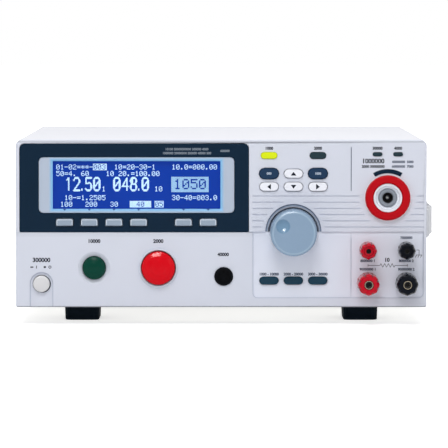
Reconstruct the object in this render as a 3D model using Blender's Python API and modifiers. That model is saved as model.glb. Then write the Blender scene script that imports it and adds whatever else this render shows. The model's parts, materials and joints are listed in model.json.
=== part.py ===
"""Bench hipot tester: a sheet-metal case with a moulded front, its controls, terminals and inner parts.

X runs right as the user sees the front, Y into the case from the panel's face, Z up from the bench.
"""

import math

import bmesh
import bpy

MM = 0.001

# Clearances
FIT = 0.3 * MM            # between pieces that touch or slide
OVERLAP = 0.5 * MM        # how far joined shapes reach into each other
THROUGH = 2 * MM          # how far a cutter passes its wall

# Case
CASE_WIDTH = 330 * MM
CASE_HEIGHT = 134 * MM
CASE_DEPTH = 440 * MM
SHEET = 1.5 * MM          # cover, tray and rear panel
# One panel millimetre across, up and for round controls, so the layout follows the case's size
ACROSS = CASE_WIDTH / 330
UP = CASE_HEIGHT / 134
ROUND = min(ACROSS, UP)
COVER_BEND = 3 * MM
BEZEL_DEPTH = 27 * MM
BEZEL_WALL = 4.5 * MM
BEZEL_CORNER = 4 * MM
BEZEL_FOOT_CORNER = 1.2 * MM
BEZEL_EDGE = 1.6 * MM     # rounding round the front face
BEZEL_SKIRT = 3 * MM
COVER_SLOT_SIZE = (3 * MM, 36 * UP)
COVER_SLOT_PITCH = 9 * MM
COVER_SLOT_COUNT = 8
COVER_SLOT_FRONT = 12 * MM  # first bank behind the bezel, and the last bank before the back edge
COVER_SLOT_REAR = 96 * MM
TRAY_LIP = 14 * MM
TRAY_VENT_SIZE = (60 * ACROSS, 3.5 * MM)
TRAY_VENT_INNER = 60 * ACROSS
TRAY_VENT_PITCH = 11 * MM
TRAY_VENT_COUNT = 7

# Feet and tilt legs
FOOT_HEIGHT = 14 * MM
FOOT_WIDTH = 28.6 * MM
FOOT_LENGTH = 46 * MM
FOOT_SPACING = 227 * ACROSS
FOOT_SETBACK = 50 * MM    # from the front face, and from the rear panel
FOOT_TAPER = 0.8 * MM
FOOT_CORNER = 5 * MM
LEG_WIDTH = 20 * MM
LEG_THICKNESS = 4.4 * MM
LEG_LENGTH = 38 * MM
LEG_TOE = 5 * MM
LEG_PIN_RADIUS = 1.3 * MM
LEG_PIN_Z = 3.4 * MM
LEG_PIN_FROM_FRONT = 6 * MM
LEG_PIN_REACH = 2 * MM      # past each side of the leg

# Display window, from the left edge and up from the case's underside
WINDOW_MARGIN = 3.2 * MM
WINDOW_RIGHT = 142.9 * ACROSS  # its right edge, from the case's right side
WINDOW_HEIGHT = 71 * UP
WINDOW_TOP = 2.5 * MM      # below the case's top
WINDOW_CORNER = 4 * MM
WINDOW_FOOT_CORNER = 0.8 * MM
WINDOW_THICKNESS = 2.5 * MM
WINDOW_LEDGE = 3 * MM
SURROUND_INSET_LEFT = 15.5 * ACROSS
SURROUND_INSET_RIGHT = 11.7 * ACROSS
SURROUND_TOP = 11 * UP
SURROUND_HEIGHT = 44.5 * UP
SURROUND_CORNER = 3.5 * MM
SURROUND_FLANGE = 1.6 * MM
SURROUND_FRONT = -0.4 * MM
SURROUND_SLOPE = (2.2 * MM, 1.2 * MM)
SURROUND_SLOPE_DEPTH = 1.2 * MM
GLASS_INSET_SIDE = 11 * ACROSS
GLASS_INSET_TOP = 3 * MM
GLASS_BORDER = 2.5 * MM    # how far the display panel runs behind the surround

# Keys
KEY_PROUD = 1.8 * MM
KEY_FLANGE = 1.0 * MM
KEY_FLANGE_THICKNESS = 1.2 * MM
KEY_EDGE = 0.5 * MM
KEY_GAP = 0.5 * MM         # shadow gap round the arrow block
SOFT_KEY_SIZE = (13.2 * ACROSS, 5.6 * UP)
SOFT_KEY_DROP = 7.6 * UP   # key centre below the surround
SOFT_KEY_PITCH = 19.8 * ACROSS
SOFT_KEY_FIRST = 20.6 * ACROSS  # first key from the surround's left edge
SOFT_KEY_GAP = 16.2 * ACROSS   # extra space before the last two keys
SOFT_KEY_CORNER = 1.6 * MM
SOFT_KEY_FOOT_CORNER = 0.8 * MM
SOFT_KEY_CLEAR = 0.6 * MM   # shadow gap round the soft keys
NAV_PITCH_X = 19.6 * ACROSS
NAV_PITCH_Z = 10.5 * UP
NAV_CENTRE = 107.0 * ACROSS    # middle column, from the right side
NAV_TOP_ROW = 26.5 * UP    # below the case's top
OVAL_KEY_SIZE = (15.6 * ACROSS, 8.5 * UP)
ARROW_KEY_SIZE = (15.1 * ACROSS, 6.9 * UP)
MODE_KEY_SIZE = (15.3 * ACROSS, 6.1 * UP)
MODE_ROW = 21.4 * UP       # above the case's underside

# Lamps
PASS_LENS_SIZE = (13.1 * ACROSS, 5.2 * UP)
READY_LENS_SIZE = (7.5 * ACROSS, 3.0 * UP)
LENS_PROUD = 1.2 * MM
LENS_FLANGE = 1.2 * MM
LENS_ROW = 12 * UP         # below the case's top
READY_ROW = 11 * UP
READY_X = 39.6 * ACROSS        # from the right side
TEST_X = 23.1 * ACROSS
LIGHT_PIPE_WEB = 2 * MM

# Selector knob
KNOB_RADIUS = 18.5 * ROUND
KNOB_HEIGHT = 20 * MM
KNOB_EDGE = 2 * MM
KNOB_SKIRT = 0.5 * MM      # how much wider the knob's foot is
KNOB_LIFT = 0.6 * MM
KNOB_SHAFT_RADIUS = 2.9 * MM
DIMPLE_RADIUS = 5.9 * ROUND
DIMPLE_DEPTH = 2.4 * MM
DIMPLE_X = -8.6 * ROUND
DIMPLE_Z = 5.5 * ROUND
KNOB_WELL_GAP = 4.2 * ROUND   # arch over the knob's upper half
KNOB_WELL_STEP = 2.2 * ROUND
ENCODER_SIZE = 14 * MM

# Recessed pad under the seam, and the ribs above it
PAD_LEFT = 139.8 * ACROSS      # from the right side
PAD_RIGHT = 2.5 * MM
PAD_BOTTOM = 7.3 * UP      # above the case's underside
PAD_CORNER = 4 * MM
PAD_DEPTH = 1.2 * MM
WELL_DEPTH = 2.8 * MM
RIB_COUNT = 6
RIB_PITCH = 4.98 * UP
RIB_WIDTH = 0.9 * MM
RIB_DEPTH = 0.7 * MM
RIB_CLEAR = 2.6 * MM       # between a groove and the knob's arch
RIB_FIRST = 4.1 * UP       # lowest groove above the seam
LINE_WIDTH = 0.7 * MM
DIVIDER_TOP = 5 * MM       # below the case's top
DIVIDER_X = 60.7 * ACROSS      # from the right side

# Start, stop, power and the remote socket
START_X = 62.9 * ACROSS        # from the left side
START_RADIUS = 9.3 * ROUND
START_PROUD = 4 * MM
START_RISE = 3.4 * MM      # height of the cap's dome
START_DISH_RADIUS = 13 * ROUND
START_DISH_DEPTH = 1.6 * MM
STOP_X = 114.5 * ACROSS
STOP_RADIUS = 13.7 * ROUND
STOP_PROUD = 7 * MM
STOP_RISE = 4 * MM
STOP_RING_WIDTH = 1.9 * ROUND
STOP_RING_PROUD = 1.6 * MM
BUTTON_ROW = 31.7 * UP     # above the case's underside
POWER_X = 20.6 * ACROSS
POWER_RADIUS = 6.6 * ROUND
POWER_ROW = 18.9 * UP
POWER_PROUD = 3.6 * MM     # above the arch's floor
POWER_RISE = 0.8 * MM
POWER_GAP = 0.6 * MM
POWER_TRAVEL = 3.4 * MM
POWER_ARCH_RADIUS = 9.4 * ROUND
POWER_ARCH_DEPTH = 1.4 * MM
REMOTE_X = 23.2 * ACROSS       # left of the pad
REMOTE_ROW = 24.9 * UP
REMOTE_RADIUS = 7.6 * ROUND
REMOTE_PROUD = 1.4 * MM
REMOTE_RIM = 1 * MM
REMOTE_WELL = 4 * MM
REMOTE_WALL = 0.8 * MM
REMOTE_LENGTH = 20 * MM
CONTACT_RADIUS = 0.7 * MM
CONTACT_CIRCLE = 3.4 * ROUND

# High-voltage outlet
HV_X = 31.3 * ACROSS           # from the right side
HV_ROW = 88 * UP
HV_RING_OUTER = 18.3 * ROUND
HV_RING_INNER = 11.7 * ROUND
HV_RING_PROUD = 4 * MM
HV_CUP_WALL = 1.4 * MM
HV_CUP_DEPTH = 3.2 * MM
HV_CUP_SLOPE = 1 * MM
HV_LIP_DROP = 1.4 * MM     # cup's lip below the ring's face
HV_FACE_DROP = 1.5 * MM    # socket's face below the lip
HV_SEAT_DEPTH = 16 * MM    # foot of the socket below the lip
HV_WELL_DEPTH = 11 * MM
HV_PIN_LENGTH = 4 * MM
HV_CUP_LENGTH = 36 * MM
HV_SOCKET_RADIUS = 7.4 * ROUND
HV_BORE_RADIUS = 4.3 * ROUND
HV_PIN_RADIUS = 1.3 * MM
HV_ARC_RADIUS = 21.4 * ROUND
HV_ARC_WIDTH = 2.9 * ROUND
HV_ARC_ANGLE = 30          # degrees either side of upright

# Binding posts
POST_X_RED = 47.2 * ACROSS     # from the right side
POST_X_BLACK = 16.3 * ACROSS
POST_ROW_SMALL = 46.0 * UP
POST_ROW_LARGE = 19.4 * UP
POST_STUD_RADIUS = 3.6 * ROUND
POST_BORE_RADIUS = 2.1 * ROUND
POST_BORE_DEPTH = 14 * MM
POST_TIP_DROP = 1.2 * MM   # stud's tip below the nut's face
POST_TAIL = 16 * MM
NUT_RADIUS_SMALL = 7.2 * ROUND
NUT_RADIUS_LARGE = 9.1 * ROUND
NUT_LENGTH_SMALL = 18 * ROUND
NUT_LENGTH_LARGE = 24 * ROUND
NUT_FLUTES = 8
FLUTE_DEPTH = 0.6 * ROUND
NUT_SHOULDER = 3.5 * ROUND
NUT_CHAMFER = 1.2 * ROUND
POST_COLLAR = 2.5 * MM

# Side handle
STRAP_WIDTH = 24 * UP
STRAP_THICKNESS = 3 * MM
STRAP_REACH = 13.6 * MM      # outer face of the strap from the case's side
STRAP_LENGTH = 190 * MM    # between the screws
STRAP_FRONT = 128 * MM     # front screw from the front face
STRAP_ROW = 61.8 * UP        # above the case's underside
STRAP_RISE = 34 * MM       # length of the bend at each end
STRAP_EDGE = 0.9 * MM
CAP_LENGTH = 34 * MM
CAP_HEIGHT = 9 * MM
CAP_CORNER = 4 * MM

# Rear panel, fan and inlet
REAR_INSET = 4 * MM        # rear panel in from the cover's back edge
FAN_SIZE = 80 * MM
FAN_DEPTH = 25 * MM
FAN_X = 95 * ACROSS            # from the left side
FAN_BORE = 38 * MM         # radius
FAN_HUB = 17 * MM
FAN_STRUT = 3 * MM
FAN_HUB_PLATE = 2.5 * MM
FAN_TIP_GAP = 1.2 * MM
FAN_BLADES = 7
BLADE_CHORD = (17 * MM, 24 * MM)    # root and tip
BLADE_PITCH = (48, 62)              # degrees
BLADE_THICKNESS = 1.4 * MM
GRILLE_RINGS = 4
GRILLE_SPOKES = 4
GRILLE_BAR = 2.6 * MM
INLET_X = 52 * ACROSS          # from the right side
INLET_ROW = 38 * UP
INLET_SIZE = (27 * MM, 47 * MM)
INLET_RECESS = (24 * MM, 16.5 * MM)
INLET_DEPTH = 24 * MM
RECESS_DEPTH = 16 * MM
RECESS_TOP = 4 * MM        # below the body's top
INLET_FLANGE = 2 * MM
INLET_FACE = 3 * MM        # flange and its bevel in front of the rear panel
INLET_PIN_SIZE = (2 * MM, 4 * MM)
INLET_PIN_PITCH = 7 * MM
INLET_PIN_STAGGER = 2 * MM
INLET_PIN_DROP = 3 * MM    # pin's tip behind the rear face
DRAWER_SIZE = (20 * MM, 14 * MM)
DRAWER_ROW = 12 * MM       # above the body's foot
DRAWER_LINE = 0.7 * MM
PORT_SIZE = (31 * MM, 12.5 * MM)
PORT_ROW = 92 * UP
PORT_PROUD = 5 * MM
PORT_PITCH = 46 * ACROSS
PORT_SHELL_SHARE = (0.58, 0.72)
PORT_PLATE = 1 * MM
PORT_WALL = 0.5 * MM

# Inside
SUBPANEL_GAP = 9 * MM      # front sub-panel behind the bezel's wall
SUBPANEL_FLANGE = 12 * MM
SWITCH_SIZE = (14 * MM, 26 * MM)
SWITCH_STEM = 6 * MM       # how far the button's stem reaches into the switch
STEM_RADIUS = 2 * MM
BOARD_SIZE = (180 * ACROSS, 230 * MM)
BOARD_LEFT = 24 * ACROSS
BOARD_BACK = 40 * MM       # behind it, to the fan
BOARD_HOLE_INSET = 8 * MM
STANDOFF_RADIUS = 3 * MM
BOARD_THICKNESS = 1.6 * MM
BOARD_STANDOFF = 8 * MM
SINK_SIZE = (70 * ACROSS, 80 * MM, 50 * MM)
SINK_PLACE = (70 * ACROSS, 130 * MM)
SINK_BASE = 6 * MM
SINK_FINS = 8
FIN_THICKNESS = 2.5 * MM
CAN_RADIUS = 14 * MM
CAN_HEIGHT = 42 * MM
CAN_PITCH = 38 * MM
CAN_PLACE = (28 * ACROSS, 40 * MM)
TRANSFORMER_SIZE = (78 * ACROSS, 66 * MM, 70 * UP)
TRANSFORMER_X = 62 * ACROSS  # from the right side
TRANSFORMER_Y = 190 * MM
TRANSFORMER_FOOT = (9 * MM, 4 * MM, 2.5 * MM)

# Places worked out from the sizes
LEFT = -CASE_WIDTH / 2
RIGHT = CASE_WIDTH / 2
BASE = FOOT_HEIGHT
TOP = BASE + CASE_HEIGHT
SEAM = TOP - WINDOW_TOP - WINDOW_HEIGHT
WINDOW_X0 = LEFT + WINDOW_MARGIN
WINDOW_X1 = RIGHT - WINDOW_RIGHT
SURROUND_X0 = WINDOW_X0 + SURROUND_INSET_LEFT
SURROUND_X1 = WINDOW_X1 - SURROUND_INSET_RIGHT
SURROUND_Z1 = TOP - WINDOW_TOP - SURROUND_TOP
SURROUND_Z0 = SURROUND_Z1 - SURROUND_HEIGHT
SURROUND_WIDTH = SURROUND_X1 - SURROUND_X0
KNOB_X = RIGHT - NAV_CENTRE
HV_CENTRE_X = RIGHT - HV_X
HV_CENTRE_Z = BASE + HV_ROW
SUBPANEL_Y = BEZEL_WALL + SUBPANEL_GAP
REAR_Y = CASE_DEPTH - REAR_INSET

# The origin is the middle of the underside of the box round the whole object
FRONT_REACH = NUT_LENGTH_LARGE + POST_COLLAR + 2 * FIT - PAD_DEPTH
REAR_REACH = REAR_Y + SHEET + PORT_PROUD
SHIFT_X = -(STRAP_REACH + FIT) / 2
SHIFT_Y = -(REAR_REACH - FRONT_REACH) / 2

COLOURS = {
    "case_grey": ((0.66, 0.68, 0.74), 0.45, 0.0),
    "panel_grey": ((0.62, 0.65, 0.72), 0.42, 0.0),
    "window_navy": ((0.015, 0.03, 0.055), 0.18, 0.0),
    "surround_white": ((0.60, 0.66, 0.76), 0.4, 0.0),
    "display_blue": ((0.01, 0.055, 0.35), 0.2, 0.0),
    "key_grey": ((0.29, 0.36, 0.42), 0.5, 0.0),
    "key_navy": ((0.03, 0.06, 0.12), 0.45, 0.0),
    "key_white": ((0.75, 0.77, 0.8), 0.45, 0.0),
    "start_green": ((0.0, 0.09, 0.05), 0.22, 0.0),
    "stop_red": ((0.72, 0.01, 0.015), 0.22, 0.0),
    "button_white": ((0.8, 0.8, 0.8), 0.35, 0.0),
    "knob_blue": ((0.31, 0.4, 0.53), 0.35, 0.0),
    "lens_green": ((0.7, 0.8, 0.02), 0.2, 0.0),
    "lens_dark": ((0.02, 0.045, 0.06), 0.2, 0.0),
    "socket_black": ((0.012, 0.013, 0.018), 0.4, 0.0),
    "terminal_red": ((0.62, 0.01, 0.03), 0.25, 0.0),
    "insulator_white": ((0.78, 0.8, 0.82), 0.35, 0.0),
    "socket_grey": ((0.22, 0.25, 0.28), 0.4, 0.0),
    "rubber_navy": ((0.012, 0.015, 0.022), 0.6, 0.0),
    "zinc_steel": ((0.6, 0.6, 0.6), 0.35, 1.0),
    "board_green": ((0.02, 0.16, 0.06), 0.5, 0.0),
    "core_steel": ((0.12, 0.12, 0.13), 0.5, 0.6),
}


# Scene, materials and collections


def clear_scene():
    for obj in list(bpy.data.objects):
        bpy.data.objects.remove(obj)


def collection(name):
    made = bpy.data.collections.new(name)
    bpy.context.scene.collection.children.link(made)
    return made


def material(name):
    found = bpy.data.materials.get(name)
    if found:
        return found
    colour, roughness, metallic = COLOURS[name]
    made = bpy.data.materials.new(name)
    made.use_nodes = True
    shader = made.node_tree.nodes["Principled BSDF"]
    shader.inputs["Base Color"].default_value = (*colour, 1)
    shader.inputs["Roughness"].default_value = roughness
    shader.inputs["Metallic"].default_value = metallic
    made.diffuse_color = (*colour, 1)
    return made


clear_scene()
PARTS = collection("hipot_tester")
CUTTERS = collection("cutters")


def add_part(name, mesh, finish):
    obj = bpy.data.objects.new(name, mesh)
    PARTS.objects.link(obj)
    if finish:
        mesh.materials.clear()
        mesh.materials.append(material(finish))
    return obj


def as_cutter(obj):
    PARTS.objects.unlink(obj)
    CUTTERS.objects.link(obj)
    obj.hide_render = True
    obj.display_type = "WIRE"
    return obj


# Outlines, as points round a shape that is centred on 0, 0


def arc(cx, cy, radius, start, end, steps):
    """Points on an arc; the angles are in degrees."""
    angles = [math.radians(start + (end - start) * i / steps) for i in range(steps + 1)]
    return [(cx + radius * math.cos(a), cy + radius * math.sin(a)) for a in angles]


def circle(radius, steps=32, cx=0.0, cy=0.0):
    return arc(cx, cy, radius, 0, 360, steps)[:-1]


def rounded(width, height, radius, steps=3):
    """A rectangle with round corners; a radius of half the height gives round ends."""
    radius = max(min(radius, width / 2 - 1e-5, height / 2 - 1e-5), 1e-5)
    x, y = width / 2 - radius, height / 2 - radius
    corners = ((x, y, 0), (-x, y, 90), (-x, -y, 180), (x, -y, 270))
    return [p for cx, cy, a in corners for p in arc(cx, cy, radius, a, a + 90, steps)]


def round_topped(width, height, top, foot, steps=3):
    """A rectangle with one corner radius at the top and another at the foot."""
    x, y = width / 2, height / 2
    corners = ((1, 1, top, 0), (-1, 1, top, 90), (-1, -1, foot, 180), (1, -1, foot, 270))
    return [
        point
        for sx, sy, r, a in corners
        for point in arc(sx * (x - r), sy * (y - r), r, a, a + 90, steps)
    ]


def oval(size, grow=0.0, steps=3):
    width, height = size[0] + 2 * grow, size[1] + 2 * grow
    return rounded(width, height, height / 2, steps)


def arc_band(radius, width, half_angle, grow=0.0, steps=8):
    """A bent bar over the top of a circle."""
    reach = half_angle + math.degrees(grow / radius)
    outer = arc(0, 0, radius + width / 2 + grow, 90 - reach, 90 + reach, steps)
    inner = arc(0, 0, radius - width / 2 - grow, 90 + reach, 90 - reach, steps)
    return outer + inner


def fluted(radius, flutes, depth, per_flute=4):
    count = flutes * per_flute
    points = []
    for i in range(count):
        angle = 2 * math.pi * i / count
        r = radius - depth * (1 - math.cos(flutes * angle)) / 2
        points.append((r * math.cos(angle), r * math.sin(angle)))
    return points


def moved(points, x, y):
    return [(px + x, py + y) for px, py in points]


# Solids. On the front, an outline's x and y are X and Z, and its height runs out of the panel


def face_front(obj, x=0.0, z=0.0, out=0.0):
    obj.rotation_euler = (math.pi / 2, 0, 0)
    obj.location = (x, -out, z)
    return obj


def face_back(obj, x=0.0, z=0.0, y=0.0):
    """As face_front, but the height runs out of the rear panel, and x is mirrored."""
    obj.rotation_euler = (math.pi / 2, 0, math.pi)
    obj.location = (x, y, z)
    return obj


def mesh_from(bm, name):
    bmesh.ops.recalc_face_normals(bm, faces=bm.faces)
    if bm.calc_volume(signed=True) < 0:
        bmesh.ops.reverse_faces(bm, faces=bm.faces)
    mesh = bpy.data.meshes.new(name)
    bm.to_mesh(mesh)
    bm.free()
    return mesh


def loft(name, sections, finish=None, closed=False):
    """Bridges outlines of equal point counts, each given as (points, height).

    The ends are capped, or with closed=True the last outline joins the first, as on a frame.
    """
    bm = bmesh.new()
    rings = [[bm.verts.new((x, y, height)) for x, y in points] for points, height in sections]
    count = len(rings[0])
    pairs = list(zip(rings, rings[1:]))
    if closed:
        pairs.append((rings[-1], rings[0]))
    else:
        bm.faces.new(rings[0])
        bm.faces.new(rings[-1])
    for lower, upper in pairs:
        for i in range(count):
            bm.faces.new((lower[i - 1], lower[i], upper[i], upper[i - 1]))
    return add_part(name, mesh_from(bm, name), finish)


def prism(name, outlines, low, high, finish=None):
    """A flat outline, with the further outlines as holes in it, from one height to another."""
    curve = bpy.data.curves.new(name, "CURVE")
    curve.dimensions = "2D"
    curve.fill_mode = "BOTH"
    curve.extrude = (high - low) / 2
    for points in outlines:
        spline = curve.splines.new("POLY")
        spline.points.add(len(points) - 1)
        for point, (x, y) in zip(spline.points, points):
            point.co = (x, y, 0, 1)
        spline.use_cyclic_u = True
    source = bpy.data.objects.new(name, curve)
    PARTS.objects.link(source)
    bpy.context.view_layer.update()
    graph = bpy.context.evaluated_depsgraph_get()
    mesh = bpy.data.meshes.new_from_object(source.evaluated_get(graph))
    bpy.data.objects.remove(source)
    bm = bmesh.new()
    bm.from_mesh(mesh)
    bmesh.ops.remove_doubles(bm, verts=bm.verts, dist=1e-6)
    bmesh.ops.translate(bm, verts=bm.verts, vec=(0, 0, (high + low) / 2))
    bmesh.ops.recalc_face_normals(bm, faces=bm.faces)
    if bm.calc_volume(signed=True) < 0:
        bmesh.ops.reverse_faces(bm, faces=bm.faces)
    bm.to_mesh(mesh)
    bm.free()
    return add_part(name, mesh, finish)


def turned(name, profile, finish=None, steps=32):
    """Revolves a profile of (radius, height) points, listed down the outer side, about its axis."""
    bm = bmesh.new()
    verts = [bm.verts.new((radius, 0, height)) for radius, height in profile]
    closed = profile[0][0] > 0 and profile[-1][0] > 0
    for a, b in zip(verts, verts[1:] + verts[:1] if closed else verts[1:]):
        bm.edges.new((a, b))
    mesh = bpy.data.meshes.new(name)
    bm.to_mesh(mesh)
    bm.free()
    obj = add_part(name, mesh, finish)
    screw = obj.modifiers.new("turn", "SCREW")
    screw.steps = screw.render_steps = steps
    screw.use_merge_vertices = True
    screw.merge_threshold = 1e-6
    return obj


def box(name, low, high, finish=None):
    bm = bmesh.new()
    add_box(bm, low, high)
    return add_part(name, mesh_from(bm, name), finish)


def add_box(bm, low, high):
    made = bmesh.ops.create_cube(bm, size=1)["verts"]
    size = [b - a for a, b in zip(low, high)]
    bmesh.ops.scale(bm, verts=made, vec=size)
    bmesh.ops.translate(bm, verts=made, vec=[(a + b) / 2 for a, b in zip(low, high)])


def boxes(name, corners, finish=None):
    bm = bmesh.new()
    for low, high in corners:
        add_box(bm, low, high)
    return add_part(name, mesh_from(bm, name), finish)


def cut(obj, *tools):
    for tool in tools:
        made = obj.modifiers.new("cut", "BOOLEAN")
        made.operation = "DIFFERENCE"
        made.object = as_cutter(tool)
    return obj


def join(obj, *others):
    for other in others:
        made = obj.modifiers.new("join", "BOOLEAN")
        made.operation = "UNION"
        made.object = as_cutter(other)
    return obj


# Where the controls sit: name, X, Z and outline size

SUBPANEL_Z = (BASE + BEZEL_SKIRT + FIT, TOP - BEZEL_SKIRT - FIT)
BACK_OF_WALL = -BEZEL_WALL - FIT
BACK_OF_WINDOW = -WINDOW_THICKNESS - FIT


def soft_key_places():
    z = SURROUND_Z0 - SOFT_KEY_DROP
    first = SURROUND_X0 + SOFT_KEY_FIRST
    xs = [first + SOFT_KEY_PITCH * i + (SOFT_KEY_GAP if i > 3 else 0) for i in range(6)]
    return [(f"soft_key_{i + 1}", x, z) for i, x in enumerate(xs)]


def nav_key_places():
    middle, upper = RIGHT - NAV_CENTRE, TOP - NAV_TOP_ROW
    lower = upper - NAV_PITCH_Z
    return [
        ("esc_key", middle - NAV_PITCH_X, upper, OVAL_KEY_SIZE, "key_navy"),
        ("up_key", middle, upper, ARROW_KEY_SIZE, "key_white"),
        ("page_key", middle + NAV_PITCH_X, upper, OVAL_KEY_SIZE, "key_navy"),
        ("left_key", middle - NAV_PITCH_X, lower, ARROW_KEY_SIZE, "key_white"),
        ("down_key", middle, lower, ARROW_KEY_SIZE, "key_white"),
        ("right_key", middle + NAV_PITCH_X, lower, ARROW_KEY_SIZE, "key_white"),
    ]


def mode_key_places():
    return [
        (f"mode_key_{i + 2}", RIGHT - NAV_CENTRE + NAV_PITCH_X * i, BASE + MODE_ROW)
        for i in (-1, 0, 1)
    ]


def post_places():
    rows = (("sense", POST_ROW_SMALL), ("source", POST_ROW_LARGE))
    columns = (("red", POST_X_RED), ("black", POST_X_BLACK))
    return [
        (f"{row}_{side}", RIGHT - x, BASE + z)
        for row, z in rows
        for side, x in columns
    ]


LENSES = {
    "pass_lens": (RIGHT - NAV_CENTRE - NAV_PITCH_X, TOP - LENS_ROW, "lens_green"),
    "fail_lens": (RIGHT - NAV_CENTRE + NAV_PITCH_X, TOP - LENS_ROW, "lens_dark"),
}
READY_PLACES = [(RIGHT - READY_X, TOP - READY_ROW), (RIGHT - TEST_X, TOP - READY_ROW)]
START = (LEFT + START_X, BASE + BUTTON_ROW)
STOP = (LEFT + STOP_X, BASE + BUTTON_ROW)
POWER = (LEFT + POWER_X, BASE + POWER_ROW)
REMOTE = (RIGHT - PAD_LEFT - REMOTE_X, BASE + REMOTE_ROW)
KNOB = (KNOB_X, SEAM)
HV = (HV_CENTRE_X, HV_CENTRE_Z)
REMOTE_BODY = REMOTE_RADIUS - REMOTE_RIM
HV_CUP_RADIUS = HV_RING_INNER - FIT
POST_TAIL_RADIUS = POST_STUD_RADIUS - 2 * FIT


# Front bezel and what it frames


def bezel_openings():
    """Every hole through the bezel's wall, in X and Z."""
    holes = [
        moved(
            rounded(
                WINDOW_X1 - WINDOW_X0 - 2 * WINDOW_LEDGE,
                WINDOW_HEIGHT - 2 * WINDOW_LEDGE,
                WINDOW_LEDGE,
                2,
            ),
            (WINDOW_X0 + WINDOW_X1) / 2,
            SEAM + WINDOW_HEIGHT / 2,
        )
    ]
    holes += [moved(oval(size, KEY_GAP), x, z) for _, x, z, size, _ in nav_key_places()]
    holes += [moved(oval(MODE_KEY_SIZE, FIT), x, z) for _, x, z in mode_key_places()]
    holes += [moved(oval(PASS_LENS_SIZE, FIT), x, z) for x, z, _ in LENSES.values()]
    holes += [moved(oval(READY_LENS_SIZE, FIT), x, z) for x, z in READY_PLACES]
    holes.append(moved(arc_band(HV_ARC_RADIUS, HV_ARC_WIDTH, HV_ARC_ANGLE, FIT), *HV))
    holes.append(circle(KNOB_SHAFT_RADIUS + 2 * FIT, 12, *KNOB))
    holes.append(circle(HV_CUP_RADIUS + FIT, 32, *HV))
    holes.append(circle(START_RADIUS + FIT, 32, *START))
    holes.append(circle(STOP_RADIUS + FIT, 32, *STOP))
    holes.append(circle(POWER_RADIUS + POWER_GAP, 24, *POWER))
    holes.append(circle(REMOTE_BODY + FIT, 24, *REMOTE))
    holes += [circle(POST_TAIL_RADIUS + FIT, 16, x, z) for _, x, z in post_places()]
    return holes


def rib_grooves():
    """The shallow grooves above the seam, which stop short of the knob and the outlet."""
    ends = (RIGHT - PAD_LEFT, RIGHT - PAD_RIGHT)
    keep_clear = (
        (KNOB, KNOB_RADIUS + KNOB_WELL_GAP + RIB_CLEAR),
        (HV, HV_ARC_RADIUS + HV_ARC_WIDTH / 2 + FIT),
    )
    runs = []
    for i in range(RIB_COUNT):
        z = SEAM + RIB_FIRST + RIB_PITCH * i
        start = ends[0]
        for (cx, cz), radius in keep_clear:
            reach = radius**2 - (z - cz) ** 2
            if reach > 0:
                runs.append((start, cx - math.sqrt(reach), z))
                start = cx + math.sqrt(reach)
        runs.append((start, ends[1], z))
    return [
        ((x0, -THROUGH, z - RIB_WIDTH / 2), (x1, RIB_DEPTH, z + RIB_WIDTH / 2))
        for x0, x1, z in runs
    ]


def pad_outline():
    """Square at the seam and round at the foot."""
    left, right = RIGHT - PAD_LEFT, RIGHT - PAD_RIGHT
    low = BASE + PAD_BOTTOM
    corner = PAD_CORNER
    foot = arc(left + corner, low + corner, corner, 180, 270, 3)
    foot += arc(right - corner, low + corner, corner, 270, 360, 3)
    return [(right, SEAM), (left, SEAM), *foot]


def knob_arch(radius):
    """The half of a disc that lies above the seam."""
    return arc(*KNOB, radius, 0, 180, 20)


def power_arch():
    x, z = POWER
    top = arc(x, z, POWER_ARCH_RADIUS, 0, 180, 16)
    foot = BASE - THROUGH
    return [(x + POWER_ARCH_RADIUS, foot), *top, (x - POWER_ARCH_RADIUS, foot)]


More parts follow.
